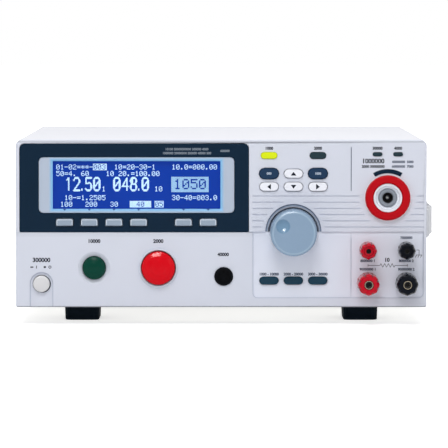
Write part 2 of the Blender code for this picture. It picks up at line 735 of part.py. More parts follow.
def front_bezel():
    centre = (0, BASE + CASE_HEIGHT / 2)

    def outline(inset):
        size = (CASE_WIDTH - 2 * inset, CASE_HEIGHT - 2 * inset)
        foot = max(BEZEL_FOOT_CORNER - inset, FIT)
        return moved(round_topped(*size, BEZEL_CORNER - inset, foot), *centre)

    steps = 3
    edge = []
    for i in range(steps + 1):
        angle = math.pi / 2 * i / steps
        inset = BEZEL_EDGE * (1 - math.cos(angle))
        edge.append((outline(inset), BEZEL_EDGE * (math.sin(angle) - 1)))
    bezel = loft("front_bezel", [(outline(0), -BEZEL_DEPTH), *edge], "panel_grey")

    hollow = prism("bezel_hollow", [outline(BEZEL_SKIRT)], -BEZEL_DEPTH - THROUGH, -BEZEL_WALL)
    window_seat = prism(
        "window_seat",
        [
            moved(
                round_topped(
                    WINDOW_X1 - WINDOW_X0 + 2 * FIT,
                    WINDOW_HEIGHT + 2 * FIT,
                    WINDOW_CORNER,
                    WINDOW_FOOT_CORNER,
                ),
                (WINDOW_X0 + WINDOW_X1) / 2,
                SEAM + WINDOW_HEIGHT / 2,
            )
        ],
        BACK_OF_WINDOW,
        THROUGH,
    )
    pad = prism("pad_recess", [pad_outline()], -PAD_DEPTH, THROUGH)
    well_radius = KNOB_RADIUS + KNOB_WELL_GAP
    well = prism("knob_well", [knob_arch(well_radius)], -PAD_DEPTH, THROUGH)
    deep_arch = [(x, z - OVERLAP) for x, z in knob_arch(well_radius - KNOB_WELL_STEP)]
    deep_well = prism("knob_deep_well", [deep_arch], -WELL_DEPTH, THROUGH)
    arch = prism("power_arch", [power_arch()], -POWER_ARCH_DEPTH, THROUGH)
    dish = turned(
        "start_dish",
        [
            (0, THROUGH),
            (START_DISH_RADIUS, THROUGH),
            (START_DISH_RADIUS, 0),
            (START_RADIUS, -START_DISH_DEPTH),
            (0, -START_DISH_DEPTH),
        ],
    )
    holes = prism("bezel_holes", bezel_openings(), -BEZEL_WALL - THROUGH, THROUGH)
    for cutter in (hollow, window_seat, pad, well, deep_well, arch, holes):
        face_front(cutter)
    face_front(dish, *START)
    divider_x = RIGHT - DIVIDER_X
    half = LINE_WIDTH / 2
    lines = rib_grooves()
    seam_top = SEAM + half
    lines.append(((WINDOW_X1 + FIT, -THROUGH, SEAM - half), (RIGHT - PAD_RIGHT, RIB_DEPTH, seam_top)))
    lines.append(
        (
            (divider_x - half, -THROUGH, BASE + PAD_BOTTOM + PAD_CORNER),
            (divider_x + half, PAD_DEPTH + RIB_DEPTH, SEAM - PAD_CORNER),
        )
    )
    lines.append(
        (
            (divider_x - half, -THROUGH, SEAM + RIB_FIRST + RIB_PITCH * RIB_COUNT),
            (divider_x + half, RIB_DEPTH, TOP - DIVIDER_TOP),
        )
    )
    grooves = boxes("panel_grooves", lines)
    face_front(bezel)
    return cut(bezel, hollow, window_seat, pad, well, deep_well, arch, dish, grooves, holes)


def display_window():
    width = WINDOW_X1 - WINDOW_X0
    centre = ((WINDOW_X0 + WINDOW_X1) / 2, SEAM + WINDOW_HEIGHT / 2)
    corners = (WINDOW_CORNER, WINDOW_FOOT_CORNER)
    outline = moved(round_topped(width, WINDOW_HEIGHT, *corners), *centre)
    surround = moved(
        rounded(SURROUND_WIDTH + 2 * FIT, SURROUND_HEIGHT + 2 * FIT, SURROUND_CORNER),
        (SURROUND_X0 + SURROUND_X1) / 2,
        (SURROUND_Z0 + SURROUND_Z1) / 2,
    )
    size = [side + 2 * SOFT_KEY_CLEAR for side in SOFT_KEY_SIZE]
    hole = round_topped(*size, SOFT_KEY_CORNER, SOFT_KEY_FOOT_CORNER)
    keys = [moved(hole, x, z) for _, x, z in soft_key_places()]
    face_front(
        prism("display_window", [outline, surround, *keys], -WINDOW_THICKNESS, 0, "window_navy")
    )


def lcd_frame():
    """The light frame round the display, with a sloping inner edge and a flange behind the window."""
    centre = ((SURROUND_X0 + SURROUND_X1) / 2, (SURROUND_Z0 + SURROUND_Z1) / 2)

    def outline(grow_x, grow_z, corner):
        size = (SURROUND_WIDTH + 2 * grow_x, SURROUND_HEIGHT + 2 * grow_z)
        return moved(rounded(*size, corner), *centre)

    outer = outline(0, 0, SURROUND_CORNER)
    flange = outline(SURROUND_FLANGE, SURROUND_FLANGE, SURROUND_CORNER)
    slope_x, slope_z = SURROUND_SLOPE
    inner = outline(-GLASS_INSET_SIDE, -GLASS_INSET_TOP, slope_z / 2)
    slope = outline(slope_x - GLASS_INSET_SIDE, slope_z - GLASS_INSET_TOP, slope_z)
    back = BACK_OF_WINDOW - SHEET
    front = SURROUND_FRONT
    sections = [
        (flange, back),
        (flange, BACK_OF_WINDOW),
        (outer, BACK_OF_WINDOW),
        (outer, front),
        (slope, front),
        (inner, front - SURROUND_SLOPE_DEPTH),
        (inner, back),
    ]
    face_front(loft("lcd_frame", sections, "surround_white", closed=True))


def lcd_panel():
    front = BACK_OF_WINDOW - SHEET - FIT
    width = SURROUND_WIDTH - 2 * GLASS_INSET_SIDE + 2 * GLASS_BORDER
    height = SURROUND_HEIGHT - 2 * GLASS_INSET_TOP + 2 * GLASS_BORDER
    centre = ((SURROUND_X0 + SURROUND_X1) / 2, (SURROUND_Z0 + SURROUND_Z1) / 2)
    back = -SUBPANEL_Y + FIT
    sections = [
        (moved(rounded(width, height, GLASS_BORDER, 2), *centre), back),
        (moved(rounded(width, height, GLASS_BORDER, 2), *centre), front),
    ]
    face_front(loft("lcd_panel", sections, "display_blue"))


# Keys, buttons and lamps


def pressed_piece(name, outline, x, z, surface, proud, back, finish, edge=KEY_EDGE):
    """A cap that passes the panel, with a retaining flange behind it."""
    top = surface + proud
    sections = [
        (outline(KEY_FLANGE), back - KEY_FLANGE_THICKNESS),
        (outline(KEY_FLANGE), back),
        (outline(0), back),
        (outline(0), top - edge),
        (outline(-edge), top),
    ]
    return face_front(loft(name, sections, finish), x, z)


def keys():
    def soft(grow):
        size = [side + 2 * grow for side in SOFT_KEY_SIZE]
        return round_topped(*size, SOFT_KEY_CORNER + grow, SOFT_KEY_FOOT_CORNER + grow)

    for name, x, z in soft_key_places():
        pressed_piece(name, soft, x, z, 0, KEY_PROUD, BACK_OF_WINDOW, "key_grey")
    for name, x, z, size, finish in nav_key_places():
        pressed_piece(
            name, lambda grow, s=size: oval(s, grow), x, z, 0, KEY_PROUD, BACK_OF_WALL, finish
        )
    for name, x, z in mode_key_places():
        pressed_piece(
            name,
            lambda grow: oval(MODE_KEY_SIZE, grow),
            x,
            z,
            -PAD_DEPTH,
            KEY_PROUD,
            BACK_OF_WALL,
            "key_navy",
        )


def lamps():
    for name, (x, z, finish) in LENSES.items():
        pressed_piece(
            name,
            lambda grow: oval(PASS_LENS_SIZE, grow),
            x,
            z,
            0,
            LENS_PROUD,
            BACK_OF_WALL,
            finish,
        )

    def arc_outline(grow):
        return arc_band(HV_ARC_RADIUS, HV_ARC_WIDTH, HV_ARC_ANGLE, grow)

    pressed_piece(
        "hv_arc_lens", arc_outline, *HV, 0, KEY_EDGE, BACK_OF_WALL, "window_navy", KEY_EDGE / 2
    )
    (x0, z), (x1, _) = READY_PLACES
    pipe = box(
        "status_light_pipe",
        (x0 - READY_LENS_SIZE[0] / 2 - LENS_FLANGE, -BACK_OF_WALL, z - READY_LENS_SIZE[1]),
        (
            x1 + READY_LENS_SIZE[0] / 2 + LENS_FLANGE,
            -BACK_OF_WALL + LIGHT_PIPE_WEB,
            z + READY_LENS_SIZE[1],
        ),
        "lens_dark",
    )
    for x, z in READY_PLACES:
        lens = loft(
            "ready_lens",
            [
                (oval(READY_LENS_SIZE), BACK_OF_WALL - OVERLAP),
                (oval(READY_LENS_SIZE), LENS_PROUD - KEY_EDGE),
                (oval(READY_LENS_SIZE, -KEY_EDGE), LENS_PROUD),
            ],
        )
        join(pipe, face_front(lens, x, z))


def dome(radius, side, rise, steps=4):
    """A cap's top profile: a shallow dome over a straight side, from the axis outwards."""
    points = []
    for i in range(steps + 1):
        angle = math.pi / 2 * i / steps
        points.append((radius * math.sin(angle), side + rise * math.cos(angle)))
    return points


def round_button(name, x, z, radius, side, rise, finish, steps, stem=None):
    back = BACK_OF_WALL
    rim = radius + KEY_FLANGE
    profile = dome(radius, side, rise)
    profile += [(radius, back), (rim, back), (rim, back - KEY_FLANGE_THICKNESS)]
    if stem:
        profile += [(STEM_RADIUS, back - KEY_FLANGE_THICKNESS), (STEM_RADIUS, stem), (0, stem)]
    else:
        profile.append((0, back - KEY_FLANGE_THICKNESS))
    return face_front(turned(name, profile, finish, steps), x, z)


def buttons():
    start_side = START_PROUD - START_RISE
    stop_side = STOP_PROUD - STOP_RISE
    round_button("start_button", *START, START_RADIUS, start_side, START_RISE, "start_green", 28)
    round_button("stop_button", *STOP, STOP_RADIUS, stop_side, STOP_RISE, "stop_red", 32)
    ring_inner = STOP_RADIUS + FIT
    ring_outer = STOP_RADIUS + STOP_RING_WIDTH
    ring = turned(
        "stop_bezel_ring",
        [
            (ring_inner, STOP_RING_PROUD - KEY_EDGE),
            (ring_inner + KEY_EDGE, STOP_RING_PROUD),
            (ring_outer - KEY_EDGE, STOP_RING_PROUD),
            (ring_outer, STOP_RING_PROUD - KEY_EDGE),
            (ring_outer, FIT),
            (ring_inner, FIT),
        ],
        "panel_grey",
        32,
    )
    face_front(ring, *STOP)
    power_side = POWER_PROUD - POWER_ARCH_DEPTH - POWER_RISE
    stem_end = -SUBPANEL_Y - SHEET - SWITCH_STEM
    round_button(
        "power_button", *POWER, POWER_RADIUS, power_side, POWER_RISE, "button_white", 24, stem_end
    )
    body = SWITCH_SIZE[0] / 2
    x, z = POWER
    front = SUBPANEL_Y + SHEET + FIT
    switch = box(
        "power_switch",
        (x - body, front, z - body),
        (x + body, front + SWITCH_SIZE[1], z + body),
        "socket_black",
    )
    bore_depth = SWITCH_STEM + POWER_TRAVEL + FIT
    bore = prism(
        "switch_bore", [circle(STEM_RADIUS + FIT, 16)], -front - bore_depth, -front + THROUGH
    )
    cut(switch, face_front(bore, x, z))


def knob():
    floor = -PAD_DEPTH + KNOB_LIFT
    edge = [
        (
            KNOB_RADIUS - KNOB_EDGE * (1 - math.sin(math.pi / 2 * i / 3)),
            KNOB_HEIGHT - KNOB_EDGE * (1 - math.cos(math.pi / 2 * i / 3)),
        )
        for i in range(4)
    ]
    shaft_end = -SUBPANEL_Y + THROUGH
    profile = [(0, KNOB_HEIGHT), *edge]
    profile += [(KNOB_RADIUS + KNOB_SKIRT, floor), (KNOB_SHAFT_RADIUS, floor)]
    profile += [(KNOB_SHAFT_RADIUS, shaft_end), (0, shaft_end)]
    made = turned("selector_knob", profile, "knob_blue", 40)
    face_front(made, *KNOB)
    ball_radius = (DIMPLE_RADIUS**2 + DIMPLE_DEPTH**2) / (2 * DIMPLE_DEPTH)
    bm = bmesh.new()
    bmesh.ops.create_uvsphere(bm, u_segments=16, v_segments=24, radius=ball_radius)
    ball = add_part("finger_dimple", mesh_from(bm, "finger_dimple"), None)
    face_front(
        ball, KNOB_X + DIMPLE_X, SEAM + DIMPLE_Z, KNOB_HEIGHT - DIMPLE_DEPTH + ball_radius
    )
    cut(made, ball)
    half = ENCODER_SIZE / 2
    encoder = prism(
        "rotary_encoder",
        [
            moved(rounded(2 * half, 2 * half, THROUGH / 2, 2), *KNOB),
            circle(KNOB_SHAFT_RADIUS + FIT, 16, *KNOB),
        ],
        -SUBPANEL_Y + FIT,
        BACK_OF_WALL,
        "socket_black",
    )
    face_front(encoder)


# Sockets and terminals


def remote_socket():
    rim, well = REMOTE_PROUD, REMOTE_WELL
    inner = REMOTE_BODY - REMOTE_WALL
    profile = [
        (0, -well),
        (inner, -well),
        (inner, rim),
        (REMOTE_RADIUS - KEY_EDGE, rim),
        (REMOTE_RADIUS, rim - KEY_EDGE),
        (REMOTE_RADIUS, FIT),
        (REMOTE_BODY, FIT),
        (REMOTE_BODY, -REMOTE_LENGTH),
        (0, -REMOTE_LENGTH),
    ]
    socket = turned("remote_socket", profile, "socket_black", 20)
    face_front(socket, *REMOTE)
    contacts = arc(*REMOTE, CONTACT_CIRCLE, -45, 225, 4)
    outlines = [circle(CONTACT_RADIUS, 6, x, z) for x, z in contacts]
    holes = prism("contact_holes", outlines, -2 * well, -well + THROUGH)
    cut(socket, face_front(holes))


def high_voltage_outlet():
    top = HV_RING_PROUD
    ring = turned(
        "hv_ring",
        [
            (HV_RING_INNER, top - 2 * KEY_EDGE),
            (HV_RING_INNER + 2 * KEY_EDGE, top),
            (HV_RING_OUTER - 3 * KEY_EDGE, top),
            (HV_RING_OUTER - KEY_EDGE, top - 2 * KEY_EDGE),
            (HV_RING_OUTER, FIT),
            (HV_RING_INNER, FIT),
        ],
        "terminal_red",
        32,
    )
    face_front(ring, *HV)
    lip = top - HV_LIP_DROP
    floor = lip - HV_CUP_DEPTH
    seat = lip - HV_SEAT_DEPTH
    seat_radius = HV_SOCKET_RADIUS + FIT
    bore = HV_CUP_RADIUS - HV_CUP_WALL
    insulator = turned(
        "hv_insulator",
        [
            (0, seat),
            (seat_radius, seat),
            (seat_radius, floor),
            (bore - HV_CUP_SLOPE, floor),
            (bore, lip - FIT),
            (bore + FIT, lip),
            (HV_CUP_RADIUS, lip),
            (HV_CUP_RADIUS, -HV_CUP_LENGTH),
            (0, -HV_CUP_LENGTH),
        ],
        "insulator_white",
        28,
    )
    face_front(insulator, *HV)
    face = lip - HV_FACE_DROP
    well = face - HV_WELL_DEPTH
    edge = 2 * KEY_EDGE
    socket = turned(
        "hv_socket",
        [
            (0, well + HV_PIN_LENGTH),
            (HV_PIN_RADIUS, well + HV_PIN_LENGTH),
            (HV_PIN_RADIUS, well),
            (HV_BORE_RADIUS, well),
            (HV_BORE_RADIUS, face - edge),
            (HV_BORE_RADIUS + edge, face),
            (HV_SOCKET_RADIUS - edge, face),
            (HV_SOCKET_RADIUS, face - edge),
            (HV_SOCKET_RADIUS, seat + FIT),
            (0, seat + FIT),
        ],
        "socket_grey",
        20,
    )
    face_front(socket, *HV)


def binding_post(name, x, z, nut_radius, nut_length, finish):
    """A socketed stud with its collar and tail, and the thumb nut screwed on it."""
    base = -PAD_DEPTH + FIT
    collar = base + POST_COLLAR
    tip = collar + FIT + nut_length - POST_TIP_DROP
    profile = [
        (0, tip - POST_BORE_DEPTH),
        (POST_BORE_RADIUS, tip - POST_BORE_DEPTH),
        (POST_BORE_RADIUS, tip),
        (POST_STUD_RADIUS, tip),
        (POST_STUD_RADIUS, collar),
        (nut_radius - FLUTE_DEPTH - FIT, collar),
        (nut_radius - FIT, base),
        (POST_TAIL_RADIUS, base),
        (POST_TAIL_RADIUS, -POST_TAIL),
        (0, -POST_TAIL),
    ]
    face_front(turned(f"{name}_post", profile, finish, 16), x, z)

    bore = circle(POST_STUD_RADIUS + FIT, NUT_FLUTES * 4)
    low, top = collar + FIT, collar + FIT + nut_length

    def skin(radius, depth=FLUTE_DEPTH):
        return fluted(radius, NUT_FLUTES, depth)

    sections = [
        (bore, low),
        (skin(nut_radius), low),
        (skin(nut_radius - NUT_CHAMFER / 3), top - NUT_SHOULDER),
        (skin(nut_radius - NUT_CHAMFER), top - NUT_CHAMFER),
        (skin(nut_radius - 2 * NUT_CHAMFER, 0), top),
        (bore, top),
    ]
    face_front(loft(f"{name}_nut", sections, finish, closed=True), x, z)


def terminals():
    for name, x, z in post_places():
        finish = "terminal_red" if name.endswith("red") else "socket_black"
        if name.startswith("sense"):
            binding_post(name, x, z, NUT_RADIUS_SMALL, NUT_LENGTH_SMALL, finish)
        else:
            binding_post(name, x, z, NUT_RADIUS_LARGE, NUT_LENGTH_LARGE, finish)


# Case


def top_cover():
    """Top and both sides, folded from one sheet, with two banks of slots in each side."""
    half = CASE_WIDTH / 2
    bend = COVER_BEND

    def corners(inset):
        radius = bend - inset
        right = arc(half - bend, TOP - bend, radius, 0, 90, 4)
        left = arc(bend - half, TOP - bend, radius, 90, 180, 4)
        return [(half - inset, BASE), *right, *left, (inset - half, BASE)]

    outline = corners(0) + corners(SHEET)[::-1]
    cover = prism("top_cover", [outline], -CASE_DEPTH, -BEZEL_DEPTH - FIT, "case_grey")
    face_front(cover)
    slot_width, slot_height = COVER_SLOT_SIZE
    low = BASE + (CASE_HEIGHT - slot_height) / 2
    slots = []
    for bank in (BEZEL_DEPTH + COVER_SLOT_FRONT, CASE_DEPTH - COVER_SLOT_REAR):
        for i in range(COVER_SLOT_COUNT):
            y = bank + COVER_SLOT_PITCH * i
            corner = (half + THROUGH, y + slot_width, low + slot_height)
            slots.append(((-half - THROUGH, y, low), corner))
    cut(cover, boxes("cover_slots", slots))


def bottom_tray():
    half = CASE_WIDTH / 2 - SHEET - FIT
    lip = TRAY_LIP

    def path(inset):
        bend = COVER_BEND - inset
        radius = COVER_BEND
        right = arc(half - radius, BASE + radius, bend, 270, 360, 3)
        left = arc(radius - half, BASE + radius, bend, 180, 270, 3)
        return [(inset - half, BASE + lip), *left, *right, (half - inset, BASE + lip)]

    outline = path(0) + path(SHEET)[::-1]
    tray = prism(
        "bottom_tray", [outline], -REAR_Y + FIT, -BEZEL_DEPTH - FIT, "zinc_steel"
    )
    face_front(tray)
    vents = []
    vent_length, vent_width = TRAY_VENT_SIZE
    for i in range(TRAY_VENT_COUNT):
        y = CASE_DEPTH / 2 + TRAY_VENT_PITCH * (i - TRAY_VENT_COUNT // 2)
        for x in (-TRAY_VENT_INNER - vent_length, TRAY_VENT_INNER):
            corner = (x + vent_length, y + vent_width, BASE + THROUGH)
            vents.append(((x, y, BASE - THROUGH), corner))
    cut(tray, boxes("tray_vents", vents))


def front_subpanel():
    """The steel plate behind the bezel, with flanges folded back along its top and foot."""
    low, high = SUBPANEL_Z
    half = CASE_WIDTH / 2 - BEZEL_SKIRT - FIT
    centre = (0, (low + high) / 2)
    outline = moved(rounded(2 * half, high - low, SHEET, 2), *centre)
    gap = 3 * FIT
    holes = [
        circle(STEM_RADIUS + gap, 10, *POWER),
        circle(REMOTE_BODY + gap, 16, *REMOTE),
        circle(HV_CUP_RADIUS + FIT, 28, *HV),
    ]
    holes += [circle(POST_TAIL_RADIUS + gap, 12, x, z) for _, x, z in post_places()]
    plate = prism("front_subpanel", [outline, *holes], -SUBPANEL_Y - SHEET, -SUBPANEL_Y, "zinc_steel")
    face_front(plate)
    inset = half - THROUGH
    back = SUBPANEL_Y + SHEET + SUBPANEL_FLANGE
    flanges = boxes(
        "subpanel_flanges",
        [
            ((-inset, SUBPANEL_Y + OVERLAP, z), (inset, back, z + SHEET))
            for z in (low, high - SHEET)
        ],
    )
    join(plate, flanges)


def rear_panel():
    half = CASE_WIDTH / 2 - SHEET - FIT
    low, high = BASE + SHEET + FIT, TOP - SHEET - FIT
    fan_x = LEFT + FAN_X
    fan_z = BASE + CASE_HEIGHT / 2
    outline = moved(rounded(2 * half, high - low, COVER_BEND), 0, (low + high) / 2)
    inlet_size = [side + 2 * FIT for side in INLET_SIZE]
    inlet = moved(rounded(*inlet_size, 2 * FIT, 1), RIGHT - INLET_X, BASE + INLET_ROW)
    slots = []
    ring = (FAN_BORE - FAN_HUB * 0.5) / GRILLE_RINGS
    span = 360 / GRILLE_SPOKES
    for i in range(GRILLE_RINGS):
        radius = FAN_BORE - ring * (i + 0.5)
        bar = math.degrees(GRILLE_BAR / 2 / radius)
        for k in range(GRILLE_SPOKES):
            start = span * (k + 0.5) + bar
            end = span * (k + 1.5) - bar
            steps = max(2, 5 - i)
            width = (ring - GRILLE_BAR) / 2
            outer = arc(fan_x, fan_z, radius + width, start, end, steps)
            inner = arc(fan_x, fan_z, radius - width, end, start, steps)
            slots.append(outer + inner)
    panel = prism("rear_panel", [outline, inlet, *slots], -REAR_Y - SHEET, -REAR_Y, "case_grey")
    face_front(panel)
    port_z = BASE + PORT_ROW
    width, height = PORT_SIZE
    across, up = PORT_SHELL_SHARE
    shell = rounded(width * across, height * up, height * up / 4, 3)
    inner = (width * across - 2 * PORT_WALL, height * up - 2 * PORT_WALL)
    for i in range(2):
        x = RIGHT - INLET_X - PORT_PITCH * i
        port = loft(
            f"port_shell_{i + 1}",
            [
                (rounded(width, height, PORT_PLATE, 3), -OVERLAP),
                (rounded(width, height, PORT_PLATE, 3), PORT_PLATE),
                (shell, PORT_PLATE),
                (shell, PORT_PROUD),
            ],
        )
        well = rounded(*inner, height * up / 4 - PORT_WALL, 3)
        socket = prism(f"port_well_{i + 1}", [well], OVERLAP, PORT_PROUD + THROUGH)
        face_back(port, x, port_z, REAR_Y + SHEET)
        face_back(socket, x, port_z, REAR_Y + SHEET)
        join(panel, port)
        cut(panel, socket)


def feet():
    """Four moulded feet; the front pair hold the fold-out legs in slots."""
    top = BASE - FIT
    length, width = FOOT_LENGTH, FOOT_WIDTH
    pin_z = LEG_PIN_Z
    end = LEG_THICKNESS / 2
    rows = (
        ("front", FOOT_SETBACK + length / 2),
        ("rear", REAR_Y - FOOT_SETBACK - length / 2),
    )
    for row, y in rows:
        for side, x in (("left", -FOOT_SPACING / 2), ("right", FOOT_SPACING / 2)):
            sole = rounded(width - 2 * FOOT_TAPER, length - 2 * FOOT_TAPER, FOOT_CORNER)
            rim = rounded(width - FOOT_TAPER, length - FOOT_TAPER, FOOT_CORNER)
            shoulder = rounded(width, length, FOOT_CORNER)
            sections = [(sole, 0), (rim, FOOT_TAPER), (shoulder, top - THROUGH), (shoulder, top)]
            foot = loft(f"{row}_{side}_foot", sections, "rubber_navy")
            foot.location = (x, y, 0)
            if row == "rear":
                continue
            pin_y = y - length / 2 + LEG_PIN_FROM_FRONT
            slot_half = LEG_WIDTH / 2 + 2 * FIT
            slot = box(
                f"{side}_leg_slot",
                (x - slot_half, pin_y - end - 2 * FIT, -THROUGH),
                (x + slot_half, pin_y + LEG_LENGTH + THROUGH, pin_z + end + 3 * FIT),
            )
            pin_length = LEG_WIDTH + 2 * LEG_PIN_REACH
            bore = prism(
                f"{side}_pin_bore",
                [circle(LEG_PIN_RADIUS + FIT, 12)],
                -pin_length / 2 - FIT,
                pin_length / 2 + FIT,
            )
            bore.rotation_euler = (0, math.pi / 2, 0)
            bore.location = (x, pin_y, pin_z)
            cut(foot, slot, bore)
            bar = arc(0, 0, end, 90, 270, 6)
            tip = [(LEG_LENGTH - LEG_TOE, -end), (LEG_LENGTH, 0), (LEG_LENGTH, end)]
            leg = prism(
                f"{side}_tilt_leg", [bar + tip], -LEG_WIDTH / 2, LEG_WIDTH / 2, "rubber_navy"
            )
            leg.rotation_euler = (math.pi / 2, 0, math.pi / 2)
            leg.location = (x, pin_y, pin_z)
            pin = prism(
                f"{side}_leg_pin", [circle(LEG_PIN_RADIUS, 12)], -pin_length / 2, pin_length / 2
            )
            pin.rotation_euler = (0, math.pi / 2, 0)
            pin.location = (x, pin_y, pin_z)
            join(leg, pin)


def side_handle():
    """A bowed strap, held at each end under a moulded cap."""
    base = RIGHT + FIT
    inner_reach = STRAP_REACH - STRAP_THICKNESS
    rise = STRAP_RISE
    half = STRAP_LENGTH / 2
    steps = 8

    def offset(y):
        t = min(max((half - CAP_LENGTH / 2 - abs(y)) / rise, 0), 1)
        return inner_reach * t * t * (3 - 2 * t)

    flat = half - CAP_LENGTH / 2
    knots = [-half - CAP_LENGTH / 2 + THROUGH]
    knots += [-flat + rise * i / steps for i in range(steps + 1)]
    knots += [-y for y in reversed(knots)]
    inner = [(base + offset(y), y) for y in knots]
    outer = [(x + STRAP_THICKNESS, y) for x, y in reversed(inner)]
    z = BASE + STRAP_ROW
    y_middle = STRAP_FRONT + half
    strap = prism(
        "handle_strap", [inner + outer], -STRAP_WIDTH / 2, STRAP_WIDTH / 2, "surround_white"
    )
    strap.location = (0, y_middle, z)
    bevel = strap.modifiers.new("soft_edges", "BEVEL")
    bevel.width = STRAP_EDGE
    bevel.segments = 1
    bevel.angle_limit = math.radians(60)
    seat = STRAP_THICKNESS + 2 * FIT
    length, width, edge = CAP_LENGTH, STRAP_WIDTH, CAP_CORNER
    full = rounded(length, width, edge)
    shoulder = rounded(length - edge / 2, width - edge / 2, edge)
    crown = rounded(length - 1.5 * edge, width - 1.5 * edge, edge)
    sections = [
        (full, seat),
        (full, CAP_HEIGHT - 0.75 * edge),
        (shoulder, CAP_HEIGHT - edge / 4),
        (crown, CAP_HEIGHT),
    ]
    for name, y in (("front_handle_cap", -half), ("rear_handle_cap", half)):
        cap = loft(name, sections, "surround_white")
        cap.rotation_euler = (math.pi / 2, 0, math.pi / 2)
        cap.location = (RIGHT, y_middle + y, z)


# Rear and inside


def fan():
    x, z = LEFT + FAN_X, BASE + CASE_HEIGHT / 2
    back = REAR_Y - FIT
    front = back - FAN_DEPTH
    strut = FAN_STRUT
    hub_plate = FAN_HUB_PLATE
    frame = prism(
        "fan_frame",
        [rounded(FAN_SIZE, FAN_SIZE, 2 * strut, 2), circle(FAN_BORE, 28)],
        -FAN_DEPTH,
        0,
        "socket_black",
    )
    face_front(frame, x, z, -front)
    reach = FAN_BORE + OVERLAP
    low, high = front + OVERLAP, front + hub_plate - OVERLAP
    nudge = OVERLAP / 2       # keeps the two struts' faces apart where they cross
    across = box(
        "fan_strut_across",
        (x - reach, low, z - strut / 2),
        (x + reach, high, z + strut / 2),
    )
    upright = box(
        "fan_strut_upright",
        (x - strut / 2, low - nudge, z - reach),
        (x + strut / 2, high + nudge, z + reach),
    )
    hub = prism("fan_hub_plate", [circle(FAN_HUB, 20)], -hub_plate, 0)
    face_front(hub, x, z, -front)
    join(frame, across, upright, hub)

    rotor_front = hub_plate + FIT
    rotor_edge = FAN_STRUT / 2
    rotor_back = FAN_DEPTH - rotor_edge
    rotor = turned(
        "fan_rotor",
        [
            (0, -rotor_front),
            (FAN_HUB, -rotor_front),
            (FAN_HUB, -rotor_back + rotor_edge),
            (FAN_HUB - rotor_edge, -rotor_back),
            (0, -rotor_back),
        ],
        "socket_black",
        20,
    )
    face_front(rotor, x, z, -front)
    root = blade_section(BLADE_CHORD[0], BLADE_THICKNESS, BLADE_PITCH[0])
    tip = blade_section(BLADE_CHORD[1], BLADE_THICKNESS, BLADE_PITCH[1])
    half_sweep = BLADE_CHORD[1] / 2 * math.sin(math.radians(BLADE_PITCH[1]))
    tip_radius = math.sqrt((FAN_BORE - FAN_TIP_GAP) ** 2 - half_sweep**2)
    middle = -(rotor_front + rotor_back) / 2
    for i in range(FAN_BLADES):
        turn = 2 * math.pi * i / FAN_BLADES
        sections = [(root, FAN_HUB - FAN_STRUT), (tip, tip_radius)]
        blade = loft(f"fan_blade_{i + 1}", sections)
        blade.rotation_euler = (0, math.pi / 2 - turn, 0)
        blade.location = (x, front - middle, z)
        join(rotor, blade)


def blade_section(chord, thickness, pitch):
    """A flat blade's cross-section, turned out of the plane of the disc."""
    a = math.radians(90 - pitch)
    half, flat = chord / 2, thickness / 2
    corners = ((-half, -flat), (half, -flat), (half, flat), (-half, flat))
    return [
        (u * math.cos(a) - v * math.sin(a), u * math.sin(a) + v * math.cos(a)) for u, v in corners
    ]


def mains_inlet():
    """A three-pole inlet with its fuse drawer under the recess, clipped into the rear panel."""
    x, z = RIGHT - INLET_X, BASE + INLET_ROW
    width, height = INLET_SIZE
    flange = INLET_FLANGE
    seat = SHEET + FIT
    face = seat + INLET_FACE
    recess_z = height / 2 - INLET_RECESS[1] / 2 - RECESS_TOP
    inner = rounded(width, height, flange / 2, 3)
    outer = rounded(width + 2 * flange, height + 2 * flange, flange, 3)
    sections = [
        (inner, seat - INLET_DEPTH),
        (inner, seat),
        (outer, seat),
        (outer, face - INLET_FACE / 3),
        (inner, face),
    ]
    body = loft("mains_inlet", sections, "socket_black")
    outline = moved(rounded(*INLET_RECESS, 1.5 * flange, 3), 0, recess_z)
    recess = prism("inlet_recess", [outline], face - RECESS_DEPTH, face + THROUGH)
    drawer = [side - 2 * DRAWER_LINE for side in DRAWER_SIZE]
    outlines = [rounded(*DRAWER_SIZE, 2 * DRAWER_LINE, 1), rounded(*drawer, DRAWER_LINE, 1)]
    drawer_gap = prism("fuse_drawer_gap", outlines, face - THROUGH, face + THROUGH)
    half_x, half_z = (side / 2 for side in INLET_PIN_SIZE)
    low, high = face - RECESS_DEPTH - OVERLAP, seat - INLET_PIN_DROP
    pins = boxes(
        "inlet_pins",
        [
            ((px - half_x, pz - half_z, low), (px + half_x, pz + half_z, high))
            for px, pz in (
                (-INLET_PIN_PITCH, recess_z - INLET_PIN_STAGGER),
                (0, recess_z + INLET_PIN_STAGGER),
                (INLET_PIN_PITCH, recess_z - INLET_PIN_STAGGER),
            )
        ],
    )
    for piece in (body, recess, pins):
        face_back(piece, x, z, REAR_Y)
    face_back(drawer_gap, x, z - height / 2 + DRAWER_ROW, REAR_Y)
    cut(body, recess, drawer_gap)
    join(body, pins)


